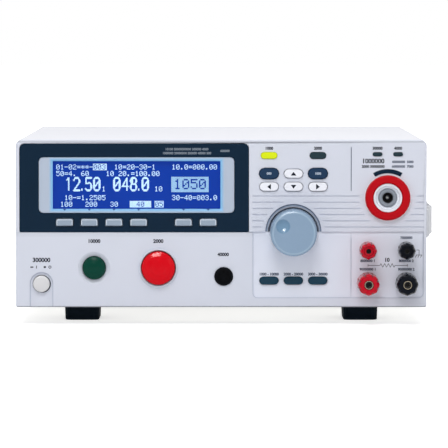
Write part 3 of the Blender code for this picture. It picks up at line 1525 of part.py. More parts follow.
def main_board():
    """The power board on its standoffs, with a finned heat sink and reservoir capacitors."""
    width, length = BOARD_SIZE
    floor = BASE + SHEET + FIT
    low = floor + BOARD_STANDOFF
    high = low + BOARD_THICKNESS
    x0 = LEFT + BOARD_LEFT
    y0 = CASE_DEPTH - FAN_DEPTH - BOARD_BACK - length
    board = box("main_board", (x0, y0, low), (x0 + width, y0 + length, high), "board_green")
    inset = BOARD_HOLE_INSET
    corners = [(x0 + dx, y0 + dy) for dx in (inset, width - inset) for dy in (inset, length - inset)]
    for i, (x, y) in enumerate(corners):
        outline = circle(STANDOFF_RADIUS, 10, x, y)
        join(board, prism(f"standoff_{i + 1}", [outline], floor, low + OVERLAP))
    sink_x, sink_y = x0 + SINK_PLACE[0], y0 + SINK_PLACE[1]
    sink_width, sink_length, sink_height = SINK_SIZE
    base_top = high + SINK_BASE
    base = box(
        "heat_sink_base",
        (sink_x, sink_y, high - OVERLAP),
        (sink_x + sink_width, sink_y + sink_length, base_top),
    )
    join(board, base)
    pitch = (sink_width - FIN_THICKNESS) / (SINK_FINS - 1)
    for i in range(SINK_FINS):
        x = sink_x + pitch * i
        fin = box(
            f"heat_sink_fin_{i + 1}",
            (x, sink_y, base_top - OVERLAP),
            (x + FIN_THICKNESS, sink_y + sink_length, high + sink_height),
        )
        join(board, fin)
    for i in range(3):
        x, y = x0 + CAN_PLACE[0], y0 + CAN_PLACE[1] + CAN_PITCH * i
        outline = circle(CAN_RADIUS, 16, x, y)
        join(board, prism(f"capacitor_{i + 1}", [outline], high - OVERLAP, high + CAN_HEIGHT))


def hv_transformer():
    """A laminated core on feet, with its winding standing proud of the window on both faces."""
    width, depth, height = TRANSFORMER_SIZE
    x, y = RIGHT - TRANSFORMER_X, TRANSFORMER_Y
    floor = BASE + SHEET + FIT
    core = box(
        "hv_transformer",
        (x - width / 2, y - depth / 4, floor),
        (x + width / 2, y + depth / 4, floor + height),
        "core_steel",
    )
    coil = rounded(width * 0.62, depth, depth / 7)
    winding = loft("winding", [(coil, floor + height / 6), (coil, floor + height * 5 / 6)])
    winding.location = (x, y, 0)
    foot_x, foot_y, foot_height = TRANSFORMER_FOOT
    foot = box(
        "mounting_foot",
        (x - width / 2 - foot_x, y - depth / 4 - foot_y, floor),
        (x + width / 2 + foot_x, y + depth / 4 + foot_y, floor + foot_height),
    )
    join(core, winding, foot)


# Put together


def smooth_round_pieces():
    for obj in PARTS.objects:
        obj.data.shade_smooth()
        obj.data.set_sharp_from_angle(angle=math.radians(32))


def place_on_origin():
    """Carries everything on one empty, so that the origin is under the middle of the object."""
    instrument = bpy.data.objects.new("instrument", None)
    PARTS.objects.link(instrument)
    instrument.location = (SHIFT_X, SHIFT_Y, 0)
    for obj in list(PARTS.objects) + list(CUTTERS.objects):
        if obj is not instrument:
            obj.parent = instrument


def build():
    front_bezel()
    display_window()
    lcd_frame()
    lcd_panel()
    keys()
    lamps()
    buttons()
    knob()
    remote_socket()
    high_voltage_outlet()
    terminals()
    top_cover()
    bottom_tray()
    front_subpanel()
    rear_panel()
    feet()
    side_handle()
    fan()
    mains_inlet()
    main_board()
    hv_transformer()
    smooth_round_pieces()
    place_on_origin()


build()
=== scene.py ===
"""Looks of the bench hipot tester: finishes, display, printed marks, small metal parts and a plain studio."""

import json
import math

import bmesh
import bpy
from mathutils import Matrix, Vector


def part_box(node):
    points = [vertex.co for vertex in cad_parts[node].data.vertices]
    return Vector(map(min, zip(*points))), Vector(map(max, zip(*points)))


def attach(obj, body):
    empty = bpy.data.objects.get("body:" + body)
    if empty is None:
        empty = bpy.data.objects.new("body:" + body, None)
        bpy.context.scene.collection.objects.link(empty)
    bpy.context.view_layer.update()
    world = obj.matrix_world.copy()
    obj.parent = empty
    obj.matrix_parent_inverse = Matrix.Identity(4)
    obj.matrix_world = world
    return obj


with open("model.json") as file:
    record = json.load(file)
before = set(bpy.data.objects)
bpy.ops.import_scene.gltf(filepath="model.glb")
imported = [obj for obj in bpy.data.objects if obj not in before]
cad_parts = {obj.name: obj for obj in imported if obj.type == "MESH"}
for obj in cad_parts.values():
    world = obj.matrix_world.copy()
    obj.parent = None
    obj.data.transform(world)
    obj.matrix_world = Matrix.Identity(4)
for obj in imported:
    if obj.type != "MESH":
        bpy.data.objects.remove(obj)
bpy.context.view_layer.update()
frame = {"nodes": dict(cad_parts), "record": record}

MM = 0.001
NODES = frame["nodes"]


def srgb(red, green, blue):
    """A colour from its 0 to 255 screen values, as the shaders take it."""
    channels = [c / 255 for c in (red, green, blue)]
    return tuple(c / 12.92 if c <= 0.04045 else ((c + 0.055) / 1.055) ** 2.4 for c in channels)


def centre(node):
    low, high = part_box(node)
    return (low + high) / 2


def front_y(node):
    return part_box(node)[0].y


# Panel: its middle line and its face, then depths behind the face in millimetres
PANEL_X = centre("front_bezel").x
PANEL_Y = front_y("front_bezel")
PAD_DEPTH = 1.2            # recessed pad on the right
WELL_DEPTH = 2.8           # well round the knob
POWER_ARCH_DEPTH = 1.4
REAR_DEPTH = 437.5         # outside of the rear panel
INK_GAP = 0.03             # printed shapes stand this far proud of what they lie on

# Panel's layout, in millimetres from its middle line and from the bench
PAD_LEFT = 25.2
PAD_RIGHT = 162.4
PAD_FOOT = 21.4
PAD_TOP = 74.0
PAD_CORNER = 3.9
SEAM_HEIGHT = 74.5         # seam under the window
CASE_FOOT = 14.0           # underside of the case
SOFT_KEYS = sorted(node for node in NODES if node.startswith("soft_key"))


def spot(node):
    """A node's middle, in millimetres from the panel's middle line and from the bench."""
    place = centre(node)
    return (place.x - PANEL_X) / MM, place.z / MM


# Shader helpers. A value or colour is given as numbers or as another node's output.


def new_material(name):
    """A new material, its node tree and its shader."""
    made = bpy.data.materials.new(name)
    made.use_nodes = True
    return made, made.node_tree, made.node_tree.nodes["Principled BSDF"]


def place_on_node(tree):
    """The place of a point on a node, as the node lies at rest."""
    return tree.nodes.new("ShaderNodeTexCoord").outputs["Object"]


def noise(tree, coords, scale, detail=3.0):
    node = tree.nodes.new("ShaderNodeTexNoise")
    node.inputs["Scale"].default_value = scale
    node.inputs["Detail"].default_value = detail
    tree.links.new(coords, node.inputs["Vector"])
    return node.outputs["Fac"]


def span(tree, value, low, high, start=0.3, end=0.7):
    """Maps start to end of a value onto low to high."""
    node = tree.nodes.new("ShaderNodeMapRange")
    for socket, number in zip(("From Min", "From Max", "To Min", "To Max"), (start, end, low, high)):
        node.inputs[socket].default_value = number
    tree.links.new(value, node.inputs["Value"])
    return node.outputs["Result"]


def maths(tree, operation, first, second=None):
    node = tree.nodes.new("ShaderNodeMath")
    node.operation = operation
    for socket, value in zip(node.inputs, (first, second)):
        if isinstance(value, bpy.types.NodeSocket):
            tree.links.new(value, socket)
        elif value is not None:
            socket.default_value = value
    return node.outputs["Value"]


def blend(tree, factor, first, second, kind="MIX"):
    """A colour that goes from the first to the second as the factor goes from 0 to 1."""
    node = tree.nodes.new("ShaderNodeMix")
    node.data_type = "RGBA"
    node.blend_type = kind
    for name, colour in (("A", first), ("B", second)):
        if isinstance(colour, bpy.types.NodeSocket):
            tree.links.new(colour, node.inputs[name])
        else:
            node.inputs[name].default_value = (*colour, 1)
    tree.links.new(factor, node.inputs["Factor"])
    return node.outputs["Result"]


def tones(colour, darker, paler):
    """A darker and a paler tone of a colour, as shares of it."""
    return [c * darker for c in colour], [min(1.0, c * paler) for c in colour]


def relief(tree, shader, height, strength, depth):
    """Fine bumps on a surface, with the depth in metres."""
    bump = tree.nodes.new("ShaderNodeBump")
    bump.inputs["Strength"].default_value = strength
    bump.inputs["Distance"].default_value = depth
    tree.links.new(height, bump.inputs["Height"])
    tree.links.new(bump.outputs["Normal"], shader.inputs["Normal"])


def place_axes(tree):
    """The X, Y and Z of a point on a node, as the node lies at rest."""
    split = tree.nodes.new("ShaderNodeSeparateXYZ")
    tree.links.new(place_on_node(tree), split.inputs[0])
    return split.outputs


def product(tree, *masks):
    """Several masks as one, by multiplying them."""
    total = masks[0]
    for mask in masks[1:]:
        total = maths(tree, "MULTIPLY", total, mask)
    return total


def radial_mask(tree, place, start, end, inside):
    """1 on one side of a circle on the panel and 0 on the other, with the change between two radii in mm."""
    axes = place_axes(tree)
    squares = []
    for axis, middle in zip("XZ", place):
        offset = maths(tree, "SUBTRACT", axes[axis], middle)
        squares.append(maths(tree, "POWER", offset, 2.0))
    levels = (1.0, 0.0) if inside else (0.0, 1.0)
    return span(tree, maths(tree, "ADD", *squares), *levels, (start * MM) ** 2, (end * MM) ** 2)


def shaded(made, *masks):
    """A finish whose colour is multiplied by a share, or by three shares, where each mask is 1."""
    tree = made.node_tree
    colour = tree.nodes["Mix"].outputs["Result"]
    for mask, share in masks:
        shares = share if isinstance(share, tuple) else (share, share, share)
        colour = blend(tree, mask, colour, shares, "MULTIPLY")
    tree.links.new(colour, tree.nodes["Principled BSDF"].inputs["Base Color"])
    return made


# Surfaces

DRIFT_SCALE = 35.0         # size of the colour drift, as a noise scale
GRAIN_SWING = 0.06         # how far the grain moves the roughness either way
GRAIN_STRENGTH = 0.35


def moulded(
    name,
    colour,
    roughness=0.4,
    drift=0.04,
    grain=2200.0,
    grain_depth=0.00001,
    glow=0.0,
    specular=0.3,
):
    """A moulded or painted surface: slight colour drift and a fine grain that breaks up the gloss."""
    made, tree, shader = new_material(name)
    coords = place_on_node(tree)
    broad = noise(tree, coords, DRIFT_SCALE)
    fine = noise(tree, coords, grain, 2.0)
    tree.links.new(blend(tree, broad, *tones(colour, 1 - drift, 1 + drift)), shader.inputs["Base Color"])
    rough = span(tree, fine, roughness - GRAIN_SWING, roughness + GRAIN_SWING)
    tree.links.new(rough, shader.inputs["Roughness"])
    shader.inputs["Specular IOR Level"].default_value = specular
    if glow:
        shader.inputs["Emission Color"].default_value = (*colour, 1)
        shader.inputs["Emission Strength"].default_value = glow
    relief(tree, shader, fine, GRAIN_STRENGTH, grain_depth)
    return made


def brushed(name, colour, roughness=0.3, stretch=(60.0, 2600.0, 2600.0)):
    """Metal with fine lines along one axis."""
    made, tree, shader = new_material(name)
    mapping = tree.nodes.new("ShaderNodeMapping")
    mapping.inputs["Scale"].default_value = stretch
    tree.links.new(place_on_node(tree), mapping.inputs["Vector"])
    lines = noise(tree, mapping.outputs["Vector"], 1.0, 4.0)
    tree.links.new(blend(tree, lines, *tones(colour, 0.85, 1.08)), shader.inputs["Base Color"])
    tree.links.new(span(tree, lines, roughness - 0.07, roughness + 0.1), shader.inputs["Roughness"])
    shader.inputs["Metallic"].default_value = 1.0
    relief(tree, shader, lines, 0.3, 0.00001)
    return made


def laminations(name):
    """Varnished core plates, seen as fine lines across the stack."""
    made, tree, shader = new_material(name)
    wave = tree.nodes.new("ShaderNodeTexWave")
    wave.bands_direction = "Y"
    wave.inputs["Scale"].default_value = 320.0
    tree.links.new(place_on_node(tree), wave.inputs["Vector"])
    tone = blend(tree, wave.outputs["Fac"], (0.03, 0.028, 0.03), (0.16, 0.14, 0.13))
    tree.links.new(tone, shader.inputs["Base Color"])
    shader.inputs["Roughness"].default_value = 0.45
    shader.inputs["Metallic"].default_value = 0.5
    return made


def backlit(name, colour, strength):
    """A lit display: glossy glass over a glow that varies a little from place to place."""
    made, tree, shader = new_material(name)
    broad = noise(tree, place_on_node(tree), 14.0, 1.0)
    tone = blend(tree, broad, *tones(colour, 0.86, 1.12))
    tree.links.new(tone, shader.inputs["Base Color"])
    tree.links.new(tone, shader.inputs["Emission Color"])
    shader.inputs["Emission Strength"].default_value = strength
    shader.inputs["Roughness"].default_value = 0.16
    shader.inputs["Specular IOR Level"].default_value = 0.1
    return made


# Half size of the glass that shows, how far its light spreads, in millimetres, and how strong that light is
GLASS_HALF = (67.35, 19.25)
GLOW_REACH = 3.6
GLOW_STRENGTH = 0.12


def glowing_surround(name, colour, glow_colour):
    """The light plastic round the display, lit blue where it slopes down to the glass."""
    made = moulded(name, colour, 0.38, 0.02)
    tree = made.node_tree
    shader = tree.nodes["Principled BSDF"]
    axes = place_axes(tree)
    middle = centre("lcd_frame")
    gaps = []
    for axis, place, half in zip("XZ", (middle.x, middle.z), GLASS_HALF):
        offset = maths(tree, "SUBTRACT", axes[axis], place)
        gaps.append(maths(tree, "SUBTRACT", maths(tree, "ABSOLUTE", offset), half * MM))
    mask = span(tree, maths(tree, "MAXIMUM", *gaps), 1.0, 0.0, 0.0, GLOW_REACH * MM)
    mask.node.interpolation_type = "SMOOTHSTEP"
    tint = blend(tree, mask, tree.nodes["Mix"].outputs["Result"], glow_colour)
    tree.links.new(tint, shader.inputs["Base Color"])
    shader.inputs["Emission Color"].default_value = (*glow_colour, 1)
    tree.links.new(span(tree, mask, 0.0, GLOW_STRENGTH, 0.0, 1.0), shader.inputs["Emission Strength"])
    return made


# Radii in millimetres between which each round painted shade and painted highlight comes in, and its share of
# the colour
# Painted shade along the stop cap's foot
CAP_FOOT_SHADE = (13.0, 13.4)
CAP_FOOT_SHADE_SHARE = 0.35
# Painted highlight along the knob's rounding
ROUNDING_HIGHLIGHT_INNER = (15.7, 16.3)
ROUNDING_HIGHLIGHT_OUTER = (17.0, 17.4)
ROUNDING_HIGHLIGHT_SHARES = (1.3, 1.24, 1.16)
DIMPLE_OFFSET = (-8.6, 5.5)    # middle of the finger dimple from the knob's axis
# Painted shade in the knob's finger dimple
DIMPLE_SHADE_EDGE = (5.1, 5.9)
DIMPLE_SHADE_SHARES = (0.68, 0.84, 0.9)
# Painted shade on the wall of the knob's well
KNOB_WELL_SHADE_EDGE = (20.7, 20.9)
KNOB_WELL_SHADE_SHARE = 0.6

# Distances in millimetres between which each straight painted shade, and the pad's paler tone, comes in, and
# its share of the colour
RIM_BELOW_TOP = (-1.9, -1.3)
RIM_BEHIND_FACE = (0.8, 1.1)
RIM_SHADE_SHARE = 0.74
FOOT_ABOVE_EDGE = (0.5, 1.1)
FOOT_SHADE_SHARE = 0.45
UNDER_SEAM = (-4.5, 0.0)
SEAM_END = (0.0, 0.3)
SEAM_TO_PAD = (-0.4, 0.0)
SEAM_SHADE_SHARE = 0.9
WELL_ABOVE_AXIS = (0.0, 0.3)
PAD_EDGE = (-0.1, 0.1)
PAD_BEHIND_FACE = (1.0, 1.15)
PAD_BELOW_SEAM = (-0.5, 0.0)
PAD_SHARE = 1.11


def stop_cap_foot_shade(made):
    """The stop cap's plastic, with painted shade along its foot, where it meets its ring."""
    middle = centre("stop_button")
    foot = radial_mask(made.node_tree, (middle.x, middle.z), *CAP_FOOT_SHADE, False)
    return shaded(made, (foot, CAP_FOOT_SHADE_SHARE))


def knob_highlight_and_dimple_shade(made):
    """The knob's plastic, with a painted highlight along its rounding and painted shade in the finger dimple.
    """
    tree = made.node_tree
    middle = centre("selector_knob")
    inner = radial_mask(tree, (middle.x, middle.z), *ROUNDING_HIGHLIGHT_INNER, False)
    outer = radial_mask(tree, (middle.x, middle.z), *ROUNDING_HIGHLIGHT_OUTER, True)
    dimple_place = middle.x + DIMPLE_OFFSET[0] * MM, middle.z + DIMPLE_OFFSET[1] * MM
    dimple = radial_mask(tree, dimple_place, *DIMPLE_SHADE_EDGE, True)
    return shaded(made, (product(tree, inner, outer), ROUNDING_HIGHLIGHT_SHARES), (dimple, DIMPLE_SHADE_SHARES))


def panel_plastic_painted_shade(made):
    """The panel's plastic, with painted shade on its upper rounding, foot, seam and knob well, and paler on
    the pad.
    """
    tree = made.node_tree
    axes = place_axes(tree)
    low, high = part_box("front_bezel")
    knob = centre("selector_knob")
    seam_z = SEAM_HEIGHT * MM
    pad_x = PANEL_X + PAD_LEFT * MM

    def rising(axis, place, start, end):
        """0 before start and 1 after end, both in millimetres from a place on an axis."""
        return span(tree, axes[axis], 0.0, 1.0, place + start * MM, place + end * MM)

    def falling(axis, place, start, end):
        """The same the other way round."""
        return span(tree, axes[axis], 1.0, 0.0, place + start * MM, place + end * MM)

    # Painted shade on the upper rounding, along the foot, under the window's seam and on the knob well's wall
    rim = product(tree, rising("Z", high.z, *RIM_BELOW_TOP), falling("Y", low.y, *RIM_BEHIND_FACE))
    foot = falling("Z", low.z, *FOOT_ABOVE_EDGE)
    seam = product(
        tree,
        rising("Z", seam_z, *UNDER_SEAM),
        falling("X", pad_x, *SEAM_TO_PAD),
        falling("Z", seam_z, *SEAM_END),
    )
    well_disc = radial_mask(tree, (knob.x, knob.z), *KNOB_WELL_SHADE_EDGE, True)
    well = product(tree, well_disc, rising("Z", knob.z, *WELL_ABOVE_AXIS))
    pad = product(
        tree,
        rising("X", pad_x, *PAD_EDGE),
        rising("Y", low.y, *PAD_BEHIND_FACE),
        falling("Z", seam_z, *PAD_BELOW_SEAM),
    )
    darker = (rim, RIM_SHADE_SHARE), (foot, FOOT_SHADE_SHARE), (seam, SEAM_SHADE_SHARE), (well, KNOB_WELL_SHADE_SHARE)
    return shaded(made, *darker, (pad, PAD_SHARE))


# Grain of gloss, and roughness, drift and grain of ink; a grain is a noise scale and a depth in metres
POLISHED = (3000.0, 0.000002)
INK_LOOK = (0.5, 0.1, 2500.0, 0.000002)

# Finish of each slot. Moulded ones give name, colour, roughness, colour drift, grain and its depth in metres.
FINISH = {
    "case_grey": moulded("case_paint", srgb(224, 225, 231), 0.55, 0.015, 900.0, 0.00004, specular=0.03),
    # The panel's plastic carries painted shade
    "panel_grey": panel_plastic_painted_shade(
        moulded("panel_plastic_painted_shade", srgb(211, 215, 227), 0.5, 0.02, 1500.0, 0.000015, specular=0.05)
    ),
    "window_navy": moulded("window_tint", srgb(19, 39, 58), 0.12, 0.06, 3000.0, 0.000003, specular=0.03),
    "surround_white": moulded("surround_plastic", srgb(216, 218, 224), 0.42, 0.02, specular=0.15),
    "display_blue": backlit("display_glass", srgb(0, 46, 140), 0.42),
    "key_grey": moulded("grey_keys", srgb(140, 156, 174), 0.45),
    "key_navy": moulded("navy_keys", srgb(32, 56, 84), 0.42, specular=0.05),
    "key_white": moulded("white_keys", srgb(232, 234, 242), 0.42),
    "start_green": moulded("green_cap", srgb(0, 62, 49), 0.12, 0.05, *POLISHED, specular=0.07),
    # The stop cap carries painted shade along its foot
    "stop_red": stop_cap_foot_shade(moulded("red_cap_foot_shade", srgb(214, 2, 22), 0.12, 0.04, *POLISHED, specular=0.08)),
    "button_white": moulded("white_cap", srgb(212, 212, 214), 0.32, 0.015),
    # The knob carries a painted highlight along its rounding and painted shade in its dimple
    "knob_blue": knob_highlight_and_dimple_shade(moulded("knob_plastic_painted_light", srgb(132, 156, 181), 0.24, 0.03, specular=0.25)),
    "lens_green": moulded("lit_lens", srgb(206, 220, 16), 0.2, 0.05, *POLISHED, glow=0.12, specular=0.15),
    "lens_dark": moulded("dark_lens", srgb(34, 54, 62), 0.18, 0.05, *POLISHED, specular=0.1),
    "socket_black": moulded("black_moulding", srgb(10, 12, 18), 0.2, 0.08, specular=0.04),
    "terminal_red": moulded("red_terminal", srgb(186, 0, 30), 0.12, 0.05, 2400.0, 0.000004, specular=0.1),
    "terminal_black": moulded("black_terminal", srgb(6, 11, 22), 0.12, 0.06, 2400.0, 0.000004, specular=0.06),
    "insulator_white": moulded("white_insulator", srgb(232, 236, 244), 0.4, 0.02, specular=0.15),
    "socket_grey": moulded("grey_socket", srgb(132, 140, 150), 0.36, 0.05),
    "rubber_navy": moulded("rubber", srgb(18, 28, 38), 0.6, 0.1, 1800.0, 0.00003, specular=0.04),
    "zinc_steel": brushed("plated_steel", (0.62, 0.62, 0.6), 0.34),
    "board_green": moulded("solder_mask", srgb(22, 92, 50), 0.35, 0.12, 500.0, 0.00003),
    "core_steel": laminations("core_plates"),
}

# Inks
INK = moulded("printed_ink", srgb(18, 24, 38), *INK_LOOK, specular=0.1)
SOFT_INK = moulded("pale_ink", srgb(66, 78, 98), *INK_LOOK, specular=0.1)
FAINT_INK = moulded("faint_ink", srgb(104, 116, 130), *INK_LOOK)
DIVIDER_INK = moulded("divider_ink", srgb(64, 80, 104), *INK_LOOK)
KEY_INK = moulded("key_ink", srgb(168, 180, 198), 0.5, 0.05)
TICK_BLUE = moulded("tick_blue", srgb(36, 84, 150), 0.5, 0.05)

# Display
LIT_DOTS = backlit("lit_dots", srgb(190, 222, 250), 0.42)
PALE_DOTS = backlit("pale_dots", srgb(150, 190, 222), 0.27)
SURROUND = glowing_surround("display_surround", srgb(172, 184, 202), srgb(122, 180, 222))

# Metal, with lines along Y and along Z
BRASS = brushed("nickel_brass", (0.31, 0.27, 0.2), 0.24, (900.0, 90.0, 900.0))
STEEL = brushed("screw_steel", (0.7, 0.7, 0.7), 0.28, (1500.0, 1500.0, 60.0))

# Plastic of single nodes and pieces
RING_RED = moulded("ring_red", srgb(184, 12, 24), 0.3, 0.04, specular=0.05)
# Painted highlight for the soft keys' edges
KEY_EDGE_HIGHLIGHT = moulded("key_rim", srgb(206, 216, 228), 0.4, 0.03)
MODE_NAVY = moulded("mode_keys", srgb(30, 60, 78), 0.42, specular=0.05)
STRAP = moulded("strap_plastic", srgb(204, 206, 211), 0.42, 0.02)
# Painted shade in the flutes of the thumb nuts
RED_NOTCH_SHADE = moulded("red_notches", srgb(92, 0, 14), 0.3, 0.05, specular=0.1)
BLACK_NOTCH_SHADE = moulded("black_notch_shade", srgb(1, 2, 5), 0.3, 0.05, specular=0.1)

# Painted shade in bores, slots, gaps and recesses, where shade falls
# The black also colours the ports' tongues and the faces at the large posts' tips
DEEP_BLACK = moulded("deep_black", srgb(8, 8, 10), 0.5, 0.1, specular=0.15)
GAP_BLACK = moulded("gap_black", srgb(44, 50, 60), 0.5, 0.05, specular=0.1)
# The pale grey also draws the seam line beside the terminals
PALE_SHADE_AND_SEAM = moulded("arch_shade", srgb(176, 184, 200), 0.5, 0.03)
KNOB_ARCH_EDGE_SHADE = moulded("knob_arch_edge_shade", srgb(104, 116, 136), 0.5, 0.05, specular=0.1)
STEP_SHADE = moulded("step_shade", srgb(148, 160, 180), 0.5, 0.05, specular=0.1)
WELL_SHADE = moulded("well_shade", srgb(84, 94, 112), 0.5, 0.05, specular=0.1)

# Nodes whose finish differs from that of their slot
OWN_FINISH = {
    "lcd_frame": SURROUND,
    "hv_ring": RING_RED,
    "handle_strap": STRAP,
    **{f"mode_key_{number}": MODE_NAVY for number in (1, 2, 3)},
}

# Bevel on a node's edges, in millimetres, and the nodes that take another width or none
EDGE_BEVEL = 0.2
OWN_BEVEL = {
    "front_bezel": 0.12,
    "top_cover": 0.3,
    "rear_panel": 0.15,
    **dict.fromkeys(("display_window", "handle_strap", "main_board", "fan_rotor", "fan_frame"), 0.0),
}
FLAT_ANGLE = math.radians(1)     # faces that differ by less are joined before the bevel
SHARP_ANGLE = math.radians(35)   # edges with a greater angle stay sharp


def dress_nodes():
    """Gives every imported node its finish, and a fine bevel that catches the light on the edges."""
    for entry in frame["record"]["subparts"]:
        node = NODES[entry["node"]]
        node.data.materials.clear()
        finish = OWN_FINISH.get(entry["node"], FINISH[entry["material_slot"]])
        node.data.materials.append(finish)
        width = OWN_BEVEL.get(entry["node"], EDGE_BEVEL)
        if width:
            flatten = node.modifiers.new("flatten", "DECIMATE")
            flatten.decimate_type = "DISSOLVE"
            flatten.angle_limit = FLAT_ANGLE
            bevel = node.modifiers.new("soft_edges", "BEVEL")
            bevel.width = width * MM
            bevel.segments = 2
            bevel.limit_method = "ANGLE"
            bevel.angle_limit = SHARP_ANGLE
            bevel.harden_normals = True
        node.data.shade_smooth()
        node.data.set_sharp_from_angle(angle=SHARP_ANGLE)


# Geometry helpers


def in_scene(name, data):
    """A new object, linked to the scene."""
    made = bpy.data.objects.new(name, data)
    bpy.context.scene.collection.objects.link(made)
    return made


def ride_along(name, mesh, finish, body):
    """An object made of a mesh, which moves with a body."""
    mesh.materials.append(finish)
    piece = in_scene(name, mesh)
    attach(piece, body)


def add_piece(name, bm, finish, body="case", smooth=None, shift=(0, 0, 0)):
    """Turns a bmesh in world metres into a piece. Edges above the angle smooth, in degrees, stay sharp."""
    if any(shift):
        bmesh.ops.translate(bm, vec=Vector(shift), verts=bm.verts)
    mesh = bpy.data.meshes.new(name)
    bm.to_mesh(mesh)
    bm.free()
    if smooth:
        mesh.shade_smooth()
        mesh.set_sharp_from_angle(angle=math.radians(smooth))
    ride_along(name, mesh, finish, body)


def printed(name, outlines, y, finish, body="case"):
    """Flat printed shapes in the XZ plane at y, turned to face the front."""
    bm = bmesh.new()
    for outline in outlines:
        area = sum(a[0] * b[1] - b[0] * a[1] for a, b in zip(outline, outline[1:] + outline[:1]))
        if area < 0:
            outline = outline[::-1]
        bm.faces.new([bm.verts.new((x, y, z)) for x, z in outline])
    add_piece(name, bm, finish, body)


def rectangle(x0, z0, x1, z1):
    return [(x0, z0), (x1, z0), (x1, z1), (x0, z1)]


def band(x, z, inner, outers, start, sweep):
    """Quads between a circle and a row of outer radii. Angles are in degrees, from +X towards +Z."""
    edges = []
    for k, outer in enumerate(outers):
        angle = math.radians(start + sweep * k / (len(outers) - 1))
        edges.append([(x + r * math.cos(angle), z + r * math.sin(angle)) for r in (inner, outer)])
    return [[*near, far[1], far[0]] for near, far in zip(edges, edges[1:])]


def ring_outlines(x, z, inner, outer, start=0.0, sweep=360.0, steps=48):
    """Quads that make up a flat ring or part of one."""
    return band(x, z, inner, [outer] * (steps + 1), start, sweep)


def crescent(x, z, inner, tip, width, start, sweep, steps):
    """Quads of a band round a circle that is widest halfway along and narrows to a tip at both ends."""
    outers = [inner + tip + width * math.sin(math.pi * k / steps) for k in range(steps + 1)]
    return band(x, z, inner, outers, start, sweep)


def bar(x0, z0, x1, z1, width):
    """A straight stroke between two points."""
    length = math.hypot(x1 - x0, z1 - z0)
    nx, nz = -(z1 - z0) / length * width / 2, (x1 - x0) / length * width / 2
    return [(x0 - nx, z0 - nz), (x1 - nx, z1 - nz), (x1 + nx, z1 + nz), (x0 + nx, z0 + nz)]


# Digits are thickened by this many millimetres, but by no more than this share of their height
BOLD = 0.18
BOLD_LIMIT = 0.07
DIGIT_HEIGHT = 0.72        # height of the font's digits as a share of its size


def numeral(name, text, x, z, y, height, finish, slot, body="case", facing=-1):
    """Plain digits from Blender's own font, flat on a surface that faces the front or the rear."""
    curve = bpy.data.curves.new(name, "FONT")
    curve.body = text
    curve.size = height / DIGIT_HEIGHT
    curve.offset = min(BOLD * MM, height * BOLD_LIMIT)
    curve.align_x = "CENTER"
    curve.align_y = "CENTER"
    curve.resolution_u = 4
    holder = in_scene(name, curve)
    bpy.context.view_layer.update()
    mesh = bpy.data.meshes.new_from_object(holder)
    bpy.data.objects.remove(holder)
    bpy.data.curves.remove(curve)
    turn = Matrix.Rotation(math.radians(90), 4, "X")
    if facing > 0:
        turn = Matrix.Rotation(math.pi, 4, "Z") @ turn
    mesh.transform(Matrix.Translation((x, y, z)) @ turn)
    ride_along(name, mesh, finish, body)


def lathe(profile, steps):
    """A bmesh turned about the Y axis. The profile is (radius, depth) pairs; a radius of 0 closes the end."""
    bm = bmesh.new()
    rings = []
    for radius, y in profile:
        if radius == 0:
            rings.append([bm.verts.new((0, y, 0))])
            continue
        angles = [math.tau * i / steps for i in range(steps)]
        rings.append([bm.verts.new((radius * math.cos(a), y, radius * math.sin(a))) for a in angles])
    for near, far in zip(rings, rings[1:]):
        for i in range(steps):
            j = (i + 1) % steps
            corners = [near[i % len(near)], near[j % len(near)], far[j % len(far)], far[i % len(far)]]
            corners = list(dict.fromkeys(corners))
            if len(corners) > 2:
                bm.faces.new(corners)
    bmesh.ops.recalc_face_normals(bm, faces=bm.faces)
    return bm


# Display

GLYPHS = {
    "0": "01110 10001 10011 10101 11001 10001 01110",
    "1": "00100 01100 00100 00100 00100 00100 01110",
    "2": "01110 10001 00001 00110 01000 10000 11111",
    "3": "01110 10001 00001 00110 00001 10001 01110",
    "4": "00010 00110 01010 10010 11111 00010 00010",
    "5": "11111 10000 11110 00001 00001 10001 01110",
    "6": "00110 01000 10000 11110 10001 10001 01110",
    ".": "00000 00000 00000 00000 00000 01100 01100",
    "-": "00000 00000 00000 11111 00000 00000 00000",
    "=": "00000 00000 11111 00000 11111 00000 00000",
    "*": "00000 00100 10101 01110 10101 00100 00000",
    " ": "00000 00000 00000 00000 00000 00000 00000",
}
# Strokes of the large digits, on a grid one wide and two high with the origin at the top left
LARGE_STROKES = {
    "0": [
        (0.25, 0), (0.75, 0), (1, 0.3), (1, 1.7), (0.75, 2), (0.25, 2), (0, 1.7), (0, 0.3), (0.25, 0),
    ],
    "1": [(0.2, 0.35), (0.55, 0), (0.55, 2)],
    "2": [(0, 0.35), (0.25, 0), (0.75, 0), (1, 0.35), (1, 0.7), (0, 2), (1, 2)],
    "4": [(0.8, 2), (0.8, 0), (0, 1.4), (1, 1.4)],
    "5": [(1, 0), (0.1, 0), (0, 0.9), (0.7, 0.8), (1, 1.1), (1, 1.7), (0.75, 2), (0.25, 2), (0, 1.75)],
    "8": [
        (0.25, 0), (0.75, 0), (1, 0.3), (1, 0.65), (0.75, 0.95), (0.25, 0.95), (0, 0.65), (0, 0.3), (0.25, 0),
        (0.25, 0.95), (0, 1.25), (0, 1.7), (0.25, 2), (0.75, 2), (1, 1.7), (1, 1.25), (0.75, 0.95),
    ],
}
GLYPH_PITCH = 6
LARGE_WIDTH = 8            # dots between the centres of a digit's outer strokes
LARGE_HEIGHT = 17
LARGE_PITCH = 12
LARGE_STROKE = 1.05
LARGE_SLASH = ((2, 13), (8, 6))    # ends of the slash in a zero
POINT_WIDTH = 2
POINT_ROWS = (16, 19)
POINT_PITCH = 5

# Display, in dots and in millimetres
DOTS_X = 240
DOTS_Z = 64
DOT_FILL = 0.92            # side of a dot as a share of the pitch
DISPLAY_SIZE = (133.6, 37.6)

